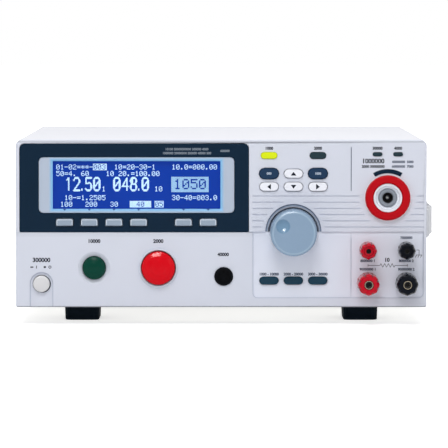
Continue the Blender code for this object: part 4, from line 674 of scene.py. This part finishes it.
# Readings as (text, column, row) of the top left dot
LIT_TEXT = (
    ("01-02=**-", 4, 4),
    ("10=20-30-1", 88, 4),
    ("10.0=000.00", 171, 4),
    ("50=4. 60 ", 4, 13),
    ("10 20.=100.00", 76, 13),
    ("1", 70, 34),
    ("10", 146, 34),
    ("10-=1.2505", 16, 46),
    ("30-40=003.0", 171, 46),
    ("100", 10, 55),
    ("200", 46, 55),
    ("30", 82, 55),
)
LARGE_TEXT = (("12.50", 16, 21), ("048.0", 86, 21))
# Dark text in a lit block, and the block's left, top, right and bottom
BLOCK_TEXT = (
    (("003", 58, 4), (57, 3, 77, 12)),
    (("40", 120, 55), (110, 54, 141, 63)),
    (("05", 147, 55), (146, 54, 159, 63)),
)
RESULT_TEXT = ("1050", 174, 24)
RESULT_BLOCK = (170, 21, 224, 42)


def small_text(text, column, row):
    """The lit dots of small characters whose top left dot is at column, row."""
    lit = set()
    for place, glyph in enumerate(text):
        for r, line in enumerate(GLYPHS[glyph].split()):
            lit |= {(column + GLYPH_PITCH * place + c, row + r) for c, dot in enumerate(line) if dot == "1"}
    return lit


def block(x0, y0, x1, y1):
    return {(x, y) for x in range(x0, x1) for y in range(y0, y1)}


def distance_to(px, py, a, b):
    """Distance from a point to a straight stroke."""
    ax, ay, dx, dy = a[0], a[1], b[0] - a[0], b[1] - a[1]
    along = max(0.0, min(1.0, ((px - ax) * dx + (py - ay) * dy) / (dx * dx + dy * dy)))
    return math.hypot(px - ax - along * dx, py - ay - along * dy)

def large_text(text, column, row):
    """The lit dots of large digits. Zeros carry a slash, and a point is a small square."""
    lit = set()
    x = column
    for glyph in text:
        if glyph == ".":
            lit |= block(x, row + POINT_ROWS[0], x + POINT_WIDTH, row + POINT_ROWS[1])
            x += POINT_PITCH
            continue
        strokes = [(x + 1 + LARGE_WIDTH * u, row + 1 + LARGE_HEIGHT / 2 * v) for u, v in LARGE_STROKES[glyph]]
        pairs = list(zip(strokes, strokes[1:]))
        if glyph == "0":
            pairs.append([(x + across, row + down) for across, down in LARGE_SLASH])
        for c, r in block(x, row, x + LARGE_WIDTH + 3, row + LARGE_HEIGHT + 4):
            if min(distance_to(c, r, a, b) for a, b in pairs) < LARGE_STROKE:
                lit.add((c, r))
        x += LARGE_PITCH
    return lit


def doubled(text, column, row):
    """Small characters at twice their size."""
    lit = set()
    for c, r in small_text(text, 0, 0):
        x, y = column + 2 * c, row + 2 * r
        lit |= block(x, y, x + 2, y + 2)
    return lit


def display():
    """Readings on the display, as dots, with plain numbers only."""
    lit = set()
    for entry in LIT_TEXT:
        lit |= small_text(*entry)
    for entry in LARGE_TEXT:
        lit |= large_text(*entry)
    for entry, corners in BLOCK_TEXT:
        lit |= block(*corners) - small_text(*entry)
    result = block(*RESULT_BLOCK) - doubled(*RESULT_TEXT)
    middle = centre("lcd_frame")
    width, height = (side * MM for side in DISPLAY_SIZE)
    pitch_x, pitch_z = width / DOTS_X, height / DOTS_Z
    left, top = middle.x - width / 2, middle.z + height / 2
    y = front_y("lcd_panel") - INK_GAP * MM
    for name, dots, finish in (("readings", lit, LIT_DOTS), ("result", result, PALE_DOTS)):
        outlines = []
        for column, row in sorted(dots):
            x, z = left + pitch_x * column, top - pitch_z * row
            outlines.append(rectangle(x, z - pitch_z * DOT_FILL, x + pitch_x * DOT_FILL, z))
        printed("display_" + name, outlines, y, finish)


# Marks on the keys, in millimetres

ARROW_REACH = 1.5
ARROW_HALF = 2.3
KEY_NUMERAL = 1.8
# Painted highlight on the soft keys' top and side edges
SOFT_KEY_HIGHLIGHT_HALF = (6.1, 2.3)
SOFT_KEY_HIGHLIGHT_WIDTH = 0.55
TICK_SIZE = 1.3
TICK_OVERLAP = 0.1         # part of a tick that stands on the glass


def arrow(x, z, reach, half, direction):
    """A solid triangle that points left, right, up or down."""
    dx, dz = {"left": (-1, 0), "right": (1, 0), "up": (0, 1), "down": (0, -1)}[direction]
    tip = (x + dx * reach, z + dz * reach)
    back = (x - dx * reach, z - dz * reach)
    return [
        tip,
        (back[0] - dz * half, back[1] + dx * half),
        (back[0] + dz * half, back[1] - dx * half),
    ]


def key_marks():
    """Triangles on the arrow keys, plain numerals on the oval keys and painted highlights along the top and
    sides of the soft keys.
    """
    for direction in ("up", "down", "left", "right"):
        node = direction + "_key"
        place, y = centre(node), front_y(node) - INK_GAP * MM
        outline = arrow(place.x, place.z, ARROW_REACH * MM, ARROW_HALF * MM, direction)
        printed(direction + "_arrow", [outline], y, INK, node)
    for node, text in (("esc_key", "000"), ("page_key", "1000")):
        place, y = centre(node), front_y(node) - INK_GAP * MM
        numeral(node + "_numeral", text, place.x, place.z, y, KEY_NUMERAL * MM, KEY_INK, "button_white", node)
    # Painted highlight along each soft key's top and sides
    half_x, half_z = (half * MM for half in SOFT_KEY_HIGHLIGHT_HALF)
    width = SOFT_KEY_HIGHLIGHT_WIDTH * MM
    for node in SOFT_KEYS:
        place, y = centre(node), front_y(node) - INK_GAP * MM
        left, right = place.x - half_x, place.x + half_x
        foot, top = place.z - half_z, place.z + half_z
        upper = rectangle(left, top - width, right, top)
        sides = [rectangle(x - width / 2, foot, x + width / 2, top - width) for x in (left, right)]
        printed(node + "_rim", [upper, *sides], y, KEY_EDGE_HIGHLIGHT, node)


def display_ticks():
    """Small dark ticks at the foot of the glass, one above each soft key."""
    foot = spot("lcd_frame")[1] - GLASS_HALF[1]
    ticks = []
    for node in SOFT_KEYS:
        x = spot(node)[0]
        upper = foot + TICK_OVERLAP
        ticks.append([(x - TICK_SIZE, upper), (x, foot - TICK_SIZE), (x + TICK_SIZE, upper)])
    depth = (front_y("lcd_frame") - PANEL_Y) / MM
    on_panel("display_ticks", ticks, depth, TICK_BLUE)


# Marks printed on the panel, in millimetres from its middle line and from the bench


def on_panel(name, outlines, depth, finish):
    """Printed shapes on a surface that lies depth behind the panel's face."""
    placed = [[(PANEL_X + x * MM, z * MM) for x, z in outline] for outline in outlines]
    printed(name, placed, PANEL_Y + (depth - INK_GAP) * MM, finish)


def number_on_panel(name, text, x, z, depth, height, finish=INK):
    y = PANEL_Y + (depth - INK_GAP) * MM
    numeral(name, text, PANEL_X + x * MM, z * MM, y, height * MM, finish, "window_navy")


LAMP_NUMERALS = (("1000", 38.4), ("2000", 77.6), ("30000", 125.4), ("4000", 141.9))
LAMP_ROW = 141.7
LAMP_DIGITS = 2.3
# Text, x, z and height of the digits
CONTROL_NUMERALS = (
    ("10000", -102.1, 67.1, 2.9),
    ("2000", -50.5, 67.1, 2.9),
    ("40000", 1.6, 56.4, 2.6),
    ("300000", -144.4, 51.9, 3.4),
)
MODE_ROW = 40.5
MODE_DIGITS = 2.1
TERMINAL_NUMERALS = (
    ("7000000", 148.7, 69.8),
    ("8000000 1", 117.8, 51.2),
    ("8000000 2", 148.7, 51.2),
    ("90000000 1", 117.8, 44.4),
    ("90000000 2", 148.7, 44.4),
)
TERMINAL_DIGITS = 2.0
RESISTOR_NUMERAL = ("10", 133.2, 51.9)
RESISTOR_DIGITS = 3.0
WINDOW_NUMERALS = (
    ("10100 20000000000 300000 4000", -27.6, 141.0),
    ("1000000 20000000 300000 40000 500", -27.6, 137.8),
    ("600000", 3.0, 139.6),
)
WINDOW_DIGITS = 1.8
OUTLET_NUMERALS = (
    ("1000000", 121.9, 131.4, 3.7, INK),
    ("2000 30000000", 121.9, 127.1, 2.1, INK),
    ("40000000  5000", 145.6, 130.8, 1.9, SOFT_INK),
    ("60000000  7000", 145.6, 127.1, 1.9, SOFT_INK),
)


def panel_numerals():
    """Plain numerals on the panel and the window, in the places where the photograph has words."""
    for text, x in LAMP_NUMERALS:
        number_on_panel("lamp_numeral_" + text, text, x, LAMP_ROW, 0.0, LAMP_DIGITS)
    for text, x, z, height in CONTROL_NUMERALS:
        number_on_panel("control_numeral_" + text, text, x, z, 0.0, height)
    for number in (1, 2, 3):
        x = spot(f"mode_key_{number}")[0]
        text = f"{number}000 - {number}0000"
        number_on_panel(f"mode_numeral_{number}", text, x, MODE_ROW, PAD_DEPTH, MODE_DIGITS, SOFT_INK)
    for index, (text, x, z) in enumerate(TERMINAL_NUMERALS):
        number_on_panel(f"terminal_numeral_{index}", text, x, z, PAD_DEPTH, TERMINAL_DIGITS, SOFT_INK)
    number_on_panel("resistor_numeral", *RESISTOR_NUMERAL, PAD_DEPTH, RESISTOR_DIGITS)
    for index, (text, x, z) in enumerate(WINDOW_NUMERALS):
        number_on_panel(f"window_numeral_{index}", text, x, z, 0.0, WINDOW_DIGITS, FAINT_INK)
    for index, (text, x, z, height, ink) in enumerate(OUTLET_NUMERALS):
        number_on_panel(f"outlet_numeral_{index}", text, x, z, 0.0, height, ink)


# Painted shade round the pad
PAD_LINE = 0.35            # width of the shade round the pad
PAD_LINE_INSET = 0.1
RING_OUTLINE = (18.3, 18.9)
TERMINAL_SEAM = (104.1, 21.8, 104.4, 73.4)    # left, foot, right and top


def pad_lines():
    """Painted shade round the recessed pad, a grey line along the seam beside the terminals, and the outline
    of the outlet's ring.
    """
    left, right, corner_z = PAD_LEFT + PAD_LINE_INSET, PAD_RIGHT, PAD_FOOT + PAD_CORNER
    shade = [
        rectangle(left, corner_z, left + PAD_LINE, PAD_TOP),
        rectangle(right - PAD_LINE, corner_z, right, PAD_TOP),
        rectangle(left + PAD_CORNER, PAD_FOOT, right - PAD_CORNER, PAD_FOOT + PAD_LINE),
    ]
    for x, start in ((left + PAD_CORNER, 180), (right - PAD_CORNER, 270)):
        shade += ring_outlines(x, corner_z, PAD_CORNER - PAD_LINE, PAD_CORNER, start, 90, 8)
    on_panel("pad_shade", shade, PAD_DEPTH, PALE_SHADE_AND_SEAM)
    outline = ring_outlines(*spot("hv_ring"), *RING_OUTLINE, steps=64)
    on_panel("ring_outline", outline, 0.0, FINISH["insulator_white"])
    on_panel("terminal_seam", [rectangle(*TERMINAL_SEAM)], PAD_DEPTH, PALE_SHADE_AND_SEAM)


# Radii and angles of the painted shades in the arches round the power button and the knob
POWER_ARCH = (8.7, 9.3)
POWER_SIDE = (8.8, 9.3)
POWER_ARCH_FOOT = 14.6
POWER_STEPS = 24
POWER_GAP = (6.7, 0.1, 0.8)    # inner radius, width at the tips, and what the middle adds
POWER_GAP_ANGLES = (-125, 200)
KNOB_ARCH = (21.6, 22.4)
KNOB_STEP = (20.6, 21.6)
KNOB_WELL = (17.0, 20.4)
KNOB_ANGLES = (1, 178)


def arch_shades():
    """Painted shade on the floors of the arches round the power button and the knob, and in the gap round the
    power button.
    """
    x, z = spot("power_button")
    shade = ring_outlines(x, z, *POWER_ARCH, 0, 180, POWER_STEPS)
    inner, outer = POWER_SIDE
    shade.append(rectangle(x - outer, POWER_ARCH_FOOT, x - inner, z))
    shade.append(rectangle(x + inner, POWER_ARCH_FOOT, x + outer, z))
    on_panel("power_arch_shade", shade, POWER_ARCH_DEPTH, PALE_SHADE_AND_SEAM)
    gap = crescent(x, z, *POWER_GAP, *POWER_GAP_ANGLES, POWER_STEPS)
    on_panel("power_gap_shade", gap, POWER_ARCH_DEPTH, GAP_BLACK)
    for name, radii, depth, finish in (
        ("knob_arch_shade", KNOB_ARCH, PAD_DEPTH, KNOB_ARCH_EDGE_SHADE),
        ("knob_step_shade", KNOB_STEP, PAD_DEPTH, STEP_SHADE),
        ("knob_well_shade", KNOB_WELL, WELL_DEPTH, WELL_SHADE),
    ):
        shade = ring_outlines(*spot("selector_knob"), *radii, *KNOB_ANGLES)
        on_panel(name, shade, depth, finish)


STROKE = 0.4               # width of the strokes of the resistor and chassis signs
# Switch marks: a bar, the upright stroke of on and a block, as left, foot, right and top, and the ring of off
SWITCH_BARS = ((-153.3, 45.8, -150.9, 46.8), (-148.7, 45.2, -148.1, 47.5), (-142.6, 45.6, -140.8, 47.1))
SWITCH_RING = (-137.6, 46.35, 0.65, 1.2)
DIVIDER_LINE = (104.05, 107.6, 104.55, 142.6)
RESISTOR_ROW = 47.6
RESISTOR_ENDS = (118.0, 149.6)
RESISTOR_ZIGZAG = (127.6, 139.6)
RESISTOR_CORNERS = 8
RESISTOR_HALF = 1.5
END_BAR_HALF = 0.9
# Chassis sign: the lead from the black post, the bar, and the first of the slanted strokes
CHASSIS_STROKES = ((156.7, 60.0, 159.2, 60.0), (159.0, 60.0, 159.0, 56.2), (156.6, 56.0, 161.4, 56.0))
CHASSIS_SLANT = (156.9, 55.9, 155.9, 53.9)
CHASSIS_SLANTS = 3
SLANT_PITCH = 2.1


def signs():
    """The switch's marks, the divider, the resistor between the posts and the chassis sign."""
    switch = [rectangle(*corners) for corners in SWITCH_BARS] + ring_outlines(*SWITCH_RING)
    on_panel("switch_marks", switch, 0.0, INK)
    on_panel("divider_line", [rectangle(*DIVIDER_LINE)], 0.0, DIVIDER_INK)
    start, end = RESISTOR_ZIGZAG
    pitch = (end - start) / RESISTOR_CORNERS
    points = [(RESISTOR_ENDS[0], RESISTOR_ROW), (start, RESISTOR_ROW)]
    for i in range(RESISTOR_CORNERS):
        rise = RESISTOR_HALF if i % 2 == 0 else -RESISTOR_HALF
        points.append((start + pitch * (i + 0.5), RESISTOR_ROW + rise))
    points += [(end, RESISTOR_ROW), (RESISTOR_ENDS[1], RESISTOR_ROW)]
    strokes = [bar(*a, *b, STROKE) for a, b in zip(points, points[1:])]
    for x in RESISTOR_ENDS:
        strokes.append(bar(x, RESISTOR_ROW - END_BAR_HALF, x, RESISTOR_ROW + END_BAR_HALF, STROKE))
    on_panel("resistor_mark", strokes, PAD_DEPTH, INK)
    sign = [bar(*ends, STROKE) for ends in CHASSIS_STROKES]
    x0, z0, x1, z1 = CHASSIS_SLANT
    for i in range(CHASSIS_SLANTS):
        sign.append(bar(x0 + SLANT_PITCH * i, z0, x1 + SLANT_PITCH * i, z1, STROKE))
    on_panel("chassis_mark", sign, PAD_DEPTH, INK)


# Small metal parts

# Profiles of turned pieces as (radius, depth) in millimetres, with the depth from the face that they sit on
# The black liners of the small posts, the disc deep in each bore and the outlet's black lining are painted
# shade
LINER = [(2.06, 0.3), (1.8, 0.3), (1.8, 12.0), (2.06, 12.0)]
BORE_SHADE = [(0, 4.0), (1.8, 4.0), (1.8, 4.4), (0, 4.4)]
STUD_RIM = [(2.8, 0.2), (2.8, -0.25), (2.95, -0.4), (3.3, -0.4), (3.45, -0.2), (3.45, 0.2)]
STUD_FACE = [(1.8, -0.05), (2.85, -0.05), (2.85, 0.1), (1.8, 0.1)]
PIN_CAP = [(0, -0.45), (0.5, -0.4), (0.95, -0.1), (1.4, 0.5), (1.4, 3.6), (0, 3.6)]
PIN_DEPTH = 7.0            # outlet's pin behind the socket's face
OUTLET_BORE_SHADE = [(4.27, 1.1), (4.15, 1.1), (4.15, 10.8), (1.5, 10.8), (1.5, 10.97), (4.27, 10.97)]
SCREW_HEAD = [(0, -1.35), (1.4, -1.3), (2.5, -0.95), (2.95, -0.3), (3.0, 0.1), (0, 0.1)]


def turned(name, profile, steps, finish, place, smooth=40):
    """A piece turned about the Y axis. A profile that starts off the axis is closed into a ring."""
    outline = profile + profile[:1] if profile[0][0] else profile
    bm = lathe([(radius * MM, depth * MM) for radius, depth in outline], steps)
    add_piece(name, bm, finish, "case", smooth, place)


def terminal_metal():
    """Liners in the posts, black as painted shade in the small pair, painted shade deep in each bore, rims
    and faces on the large pair, and the outlet's pin and painted shade in its bore.
    """
    for post in sorted(node for node in NODES if node.endswith("_post")):
        place = centre(post)
        tip = (place.x, front_y(post), place.z)
        large = post.startswith("source")
        # Brass liner in the large posts, a black one as painted shade in the small posts
        turned(post + "_liner", LINER, 32, BRASS if large else DEEP_BLACK, tip)
        # Painted shade deep in the bore
        turned(post + "_bore_shade", BORE_SHADE, 24, DEEP_BLACK, tip)
        if large:
            turned(post + "_rim", STUD_RIM, 48, BRASS, tip)
            turned(post + "_face", STUD_FACE, 32, DEEP_BLACK, tip)
    socket, face = centre("hv_socket"), front_y("hv_socket")
    pin = (socket.x, face + PIN_DEPTH * MM, socket.z)
    turned("outlet_pin_cap", PIN_CAP, 32, STEEL, pin, 50)
    # Painted shade lining the outlet's bore
    turned("outlet_bore_shade", OUTLET_BORE_SHADE, 40, DEEP_BLACK, (socket.x, face, socket.z))


NUT_FLUTES = 8
# Distance in from the nut's radius, depth and half width in millimetres; a depth below 0 is from the far end
NOTCH_STATIONS = ((2.3, 0.1, 0.3), (1.75, 1.2, 0.5), (0.94, 3.5, 0.55), (0.54, -1.0, 0.55))


def nut_notch_shades():
    """Painted shade: dark lines in the flutes of each thumb nut, following its shoulder and chamfer."""
    for nut in sorted(node for node in NODES if node.endswith("_nut")):
        low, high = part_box(nut)
        place, radius, length = (low + high) / 2, (high.x - low.x) / 2, high.y - low.y
        bm = bmesh.new()
        for flute in range(NUT_FLUTES):
            a = math.tau * (flute + 0.5) / NUT_FLUTES
            out, side = Vector((math.cos(a), 0, math.sin(a))), Vector((-math.sin(a), 0, math.cos(a)))
            rows = []
            for inset, depth, half in NOTCH_STATIONS:
                y = depth * MM if depth > 0 else length + depth * MM
                middle = out * (radius - inset * MM) + Vector((0, y, 0))
                rows.append([bm.verts.new(middle + side * half * s * MM) for s in (-1, 1)])
            for near, far in zip(rows, rows[1:]):
                bm.faces.new((near[0], near[1], far[1], far[0]))
        bmesh.ops.recalc_face_normals(bm, faces=bm.faces)
        finish, slot = (RED_NOTCH_SHADE, "terminal_red") if "red" in nut else (BLACK_NOTCH_SHADE, "socket_black")
        add_piece(nut + "_notches", bm, finish, nut, None, (place.x, low.y, place.z))


# Screws: on the rear as x and z, under the case as x and the distance behind the panel's face
REAR_SCREWS = (
    *((x, z) for x in (-157.0, 157.0) for z in (24.0, 138.0)),
    *((-40.0, 26.0), (70.0, 26.0), (0.0, 140.0)),
)
FAN_SCREW_HALF = 35.75     # half the distance between the fan's screws
UNDER_SCREWS_X = (-150.0, 0.0, 150.0)
UNDER_SCREWS_Y = (40.0, 225.0, 410.0)
# Painted shade of the crossed slots, as black crosses
CROSS_HALF = 0.32
CROSS_REACH = 1.5
CROSS_DEPTH = -1.38


def screw_heads():
    """Pan-head screws on the rear panel and under the case, with their crossed slots as painted shade: black
    crosses on the heads.
    """
    fan_x, fan_z = spot("fan_frame")
    around = (-FAN_SCREW_HALF, FAN_SCREW_HALF)
    rear = [*REAR_SCREWS, *((fan_x + dx, fan_z + dz) for dx in around for dz in around)]
    under = [(x, y) for x in UNDER_SCREWS_X for y in UNDER_SCREWS_Y]
    to_rear, to_under = Matrix.Rotation(math.pi, 4, "Z"), Matrix.Rotation(math.pi / 2, 4, "X")
    places = [(Vector((PANEL_X + x * MM, PANEL_Y + REAR_DEPTH * MM, z * MM)), to_rear) for x, z in rear]
    places += [(Vector((PANEL_X + x * MM, PANEL_Y + y * MM, CASE_FOOT * MM)), to_under) for x, y in under]
    half, reach = CROSS_HALF * MM, CROSS_REACH * MM
    heads, slots = bmesh.new(), bmesh.new()
    for place, turn in places:
        matrix = Matrix.Translation(place) @ turn
        one = lathe([(radius * MM, depth * MM) for radius, depth in SCREW_HEAD], 24)
        made = bpy.data.meshes.new("screw_copy")
        one.transform(matrix)
        one.to_mesh(made)
        one.free()
        heads.from_mesh(made)
        bpy.data.meshes.remove(made)
        for x, z in ((reach, half), (half, reach)):
            corners = [Vector((a, CROSS_DEPTH * MM, b)) for a, b in rectangle(-x, -z, x, z)]
            slots.faces.new([slots.verts.new(matrix @ corner) for corner in corners])
    add_piece("screw_heads", heads, STEEL, smooth=30)
    add_piece("screw_slots", slots, DEEP_BLACK)


# Rear fittings: places from the inlet's middle line, sizes and heights in millimetres
INLET_PINS = ((-7, 61.25), (0, 65.25), (7, 61.25))
PIN_SLEEVE = (2.12, 9.9, 4.12)
PIN_SLEEVE_BACK = 6.2      # middle of a sleeve ahead of the rear panel
SECOND_PORT = -46.0
PORT_HEIGHT = 106
TONGUE = (11, 3.2, 1.6)
TONGUE_OUT = 3.6           # middle of a tongue behind the rear panel's inside
REAR_NUMERALS = (("1", 0.0, 116.5), ("2", SECOND_PORT, 116.5), ("3", 0.0, 24.5))
REAR_DIGITS = 2.8


def add_blocks(name, size, places, finish):
    """Several equal blocks as one piece."""
    bm = bmesh.new()
    for place in places:
        made = bmesh.ops.create_cube(bm, size=1)["verts"]
        bmesh.ops.scale(bm, vec=[side * MM for side in size], verts=made)
        bmesh.ops.translate(bm, vec=place, verts=made)
    add_piece(name, bm, finish)


def rear_metal():
    """Plated sleeves on the inlet's pins, contact tongues in the ports, and numerals beside them."""
    inlet_x, back = centre("mains_inlet").x, front_y("rear_panel")
    sleeves = [(inlet_x + x * MM, back - PIN_SLEEVE_BACK * MM, z * MM) for x, z in INLET_PINS]
    add_blocks("inlet_pin_sleeves", PIN_SLEEVE, sleeves, STEEL)
    tongues = [(inlet_x + x * MM, back + TONGUE_OUT * MM, PORT_HEIGHT * MM) for x in (0.0, SECOND_PORT)]
    add_blocks("port_tongues", TONGUE, tongues, DEEP_BLACK)
    y = PANEL_Y + (REAR_DEPTH + INK_GAP) * MM
    for text, x, z in REAR_NUMERALS:
        place = (inlet_x + x * MM, z * MM, y)
        numeral("rear_numeral_" + text, text, *place, REAR_DIGITS * MM, INK, "window_navy", "case", 1)


# Studio

AMBIENT = (0.5, 0.5, 0.5)
WHITE = (1.0, 1.0, 1.0)
FLOOR_TONES = (0.9, 0.9, 0.9), (0.93, 0.93, 0.93)
FLOOR_SIZE = 20            # metres
FLOOR_LIFT = 0.6           # how far the floor near the object is lifted towards white
FLOOR_FADE = (0.4, 1.6)    # metres from the object's middle between which the lift becomes full
LIGHT_AIM = (0, 0, 0.07)
# Name, place, size and power in watts
LIGHTS = (
    ("overhead", (-0.2, 0.2, 1.9), (1.6, 1.6), 12.5),
    ("front_top", (-0.1, -1.3, 1.5), (0.9, 0.5), 12.0),
    ("front_left", (-1.7, -2.0, 1.0), (1.2, 1.2), 3.0),
    ("front_right", (1.7, -2.0, 0.9), (1.0, 1.2), 4.0),
    ("back", (0.6, 2.2, 1.3), (1.4, 1.0), 6.0),
    ("sheen", (-0.26, -1.4, 0.99), (0.7, 0.5), 60.0),
)


def shown_rays(tree):
    """1 for rays from the camera and for those that a mirror or glass sends on, 0 for light on the object."""
    paths = tree.nodes.new("ShaderNodeLightPath").outputs
    mirrored = maths(tree, "MAXIMUM", paths["Is Camera Ray"], paths["Is Glossy Ray"])
    return maths(tree, "MAXIMUM", mirrored, paths["Is Transmission Ray"])


def white_floor():
    """A matt floor that is lifted towards white where it is seen and keeps the object's shadow."""
    floor_mesh = bpy.data.meshes.new("floor")
    bm = bmesh.new()
    bmesh.ops.create_grid(bm, x_segments=1, y_segments=1, size=FLOOR_SIZE)
    bm.to_mesh(floor_mesh)
    bm.free()
    floor = in_scene("floor", floor_mesh)
    made, tree, shader = new_material("studio_floor")
    coords = place_on_node(tree)
    tree.links.new(blend(tree, noise(tree, coords, 6.0), *FLOOR_TONES), shader.inputs["Base Color"])
    shader.inputs["Roughness"].default_value = 0.9
    shader.inputs["Specular IOR Level"].default_value = 0.0
    away = tree.nodes.new("ShaderNodeVectorMath")
    away.operation = "LENGTH"
    tree.links.new(coords, away.inputs[0])
    lift = span(tree, away.outputs["Value"], FLOOR_LIFT, 1.0, *FLOOR_FADE)
    shader.inputs["Emission Color"].default_value = (*WHITE, 1)
    tree.links.new(maths(tree, "MULTIPLY", lift, shown_rays(tree)), shader.inputs["Emission Strength"])
    floor_mesh.materials.append(made)


def white_world():
    """Surroundings that are white to the camera and in reflections, and light the object less."""
    world = bpy.data.worlds.new("studio")
    bpy.context.scene.world = world
    world.use_nodes = True
    tree = world.node_tree
    seen = blend(tree, shown_rays(tree), AMBIENT, WHITE)
    tree.links.new(seen, tree.nodes["Background"].inputs["Color"])


def lamps():
    """Soft lamps above, in front and behind. The one called sheen shows only in gloss."""
    for name, place, size, power in LIGHTS:
        light = bpy.data.lights.new(name, "AREA")
        light.shape = "RECTANGLE"
        light.size, light.size_y = size
        light.energy = power
        holder = in_scene(name, light)
        holder.visible_diffuse = name != "sheen"
        holder.location = place
        aim = Vector(LIGHT_AIM) - Vector(place)
        holder.rotation_euler = aim.to_track_quat("-Z", "Y").to_euler()


# Photograph's view, in metres except for the lens
SENSOR_WIDTH = 36.0
CAMERA_LENS = 310.7
CAMERA_DISTANCE = 3.1      # in front of the panel
CAMERA_HEIGHT = 0.240
AIM_HEIGHT = 0.0810        # height on the panel that sits in the middle of the frame
CAMERA_SHIFT_X = 0.00625


def camera():
    """The camera that takes the photograph's view, and plain tones."""
    lens = bpy.data.cameras.new("photograph")
    lens.sensor_width = SENSOR_WIDTH
    lens.lens = CAMERA_LENS
    lens.shift_x = CAMERA_SHIFT_X
    holder = in_scene("photograph", lens)
    holder.location = (PANEL_X, PANEL_Y - CAMERA_DISTANCE, CAMERA_HEIGHT)
    aim = Vector((PANEL_X, PANEL_Y, AIM_HEIGHT)) - holder.location
    holder.rotation_euler = aim.to_track_quat("-Z", "Y").to_euler()
    bpy.context.scene.camera = holder
    bpy.context.scene.view_settings.view_transform = "Standard"


dress_nodes()
display()
key_marks()
panel_numerals()
pad_lines()
arch_shades()
signs()
display_ticks()
terminal_metal()
nut_notch_shades()
screw_heads()
rear_metal()
white_floor()
white_world()
lamps()
camera()
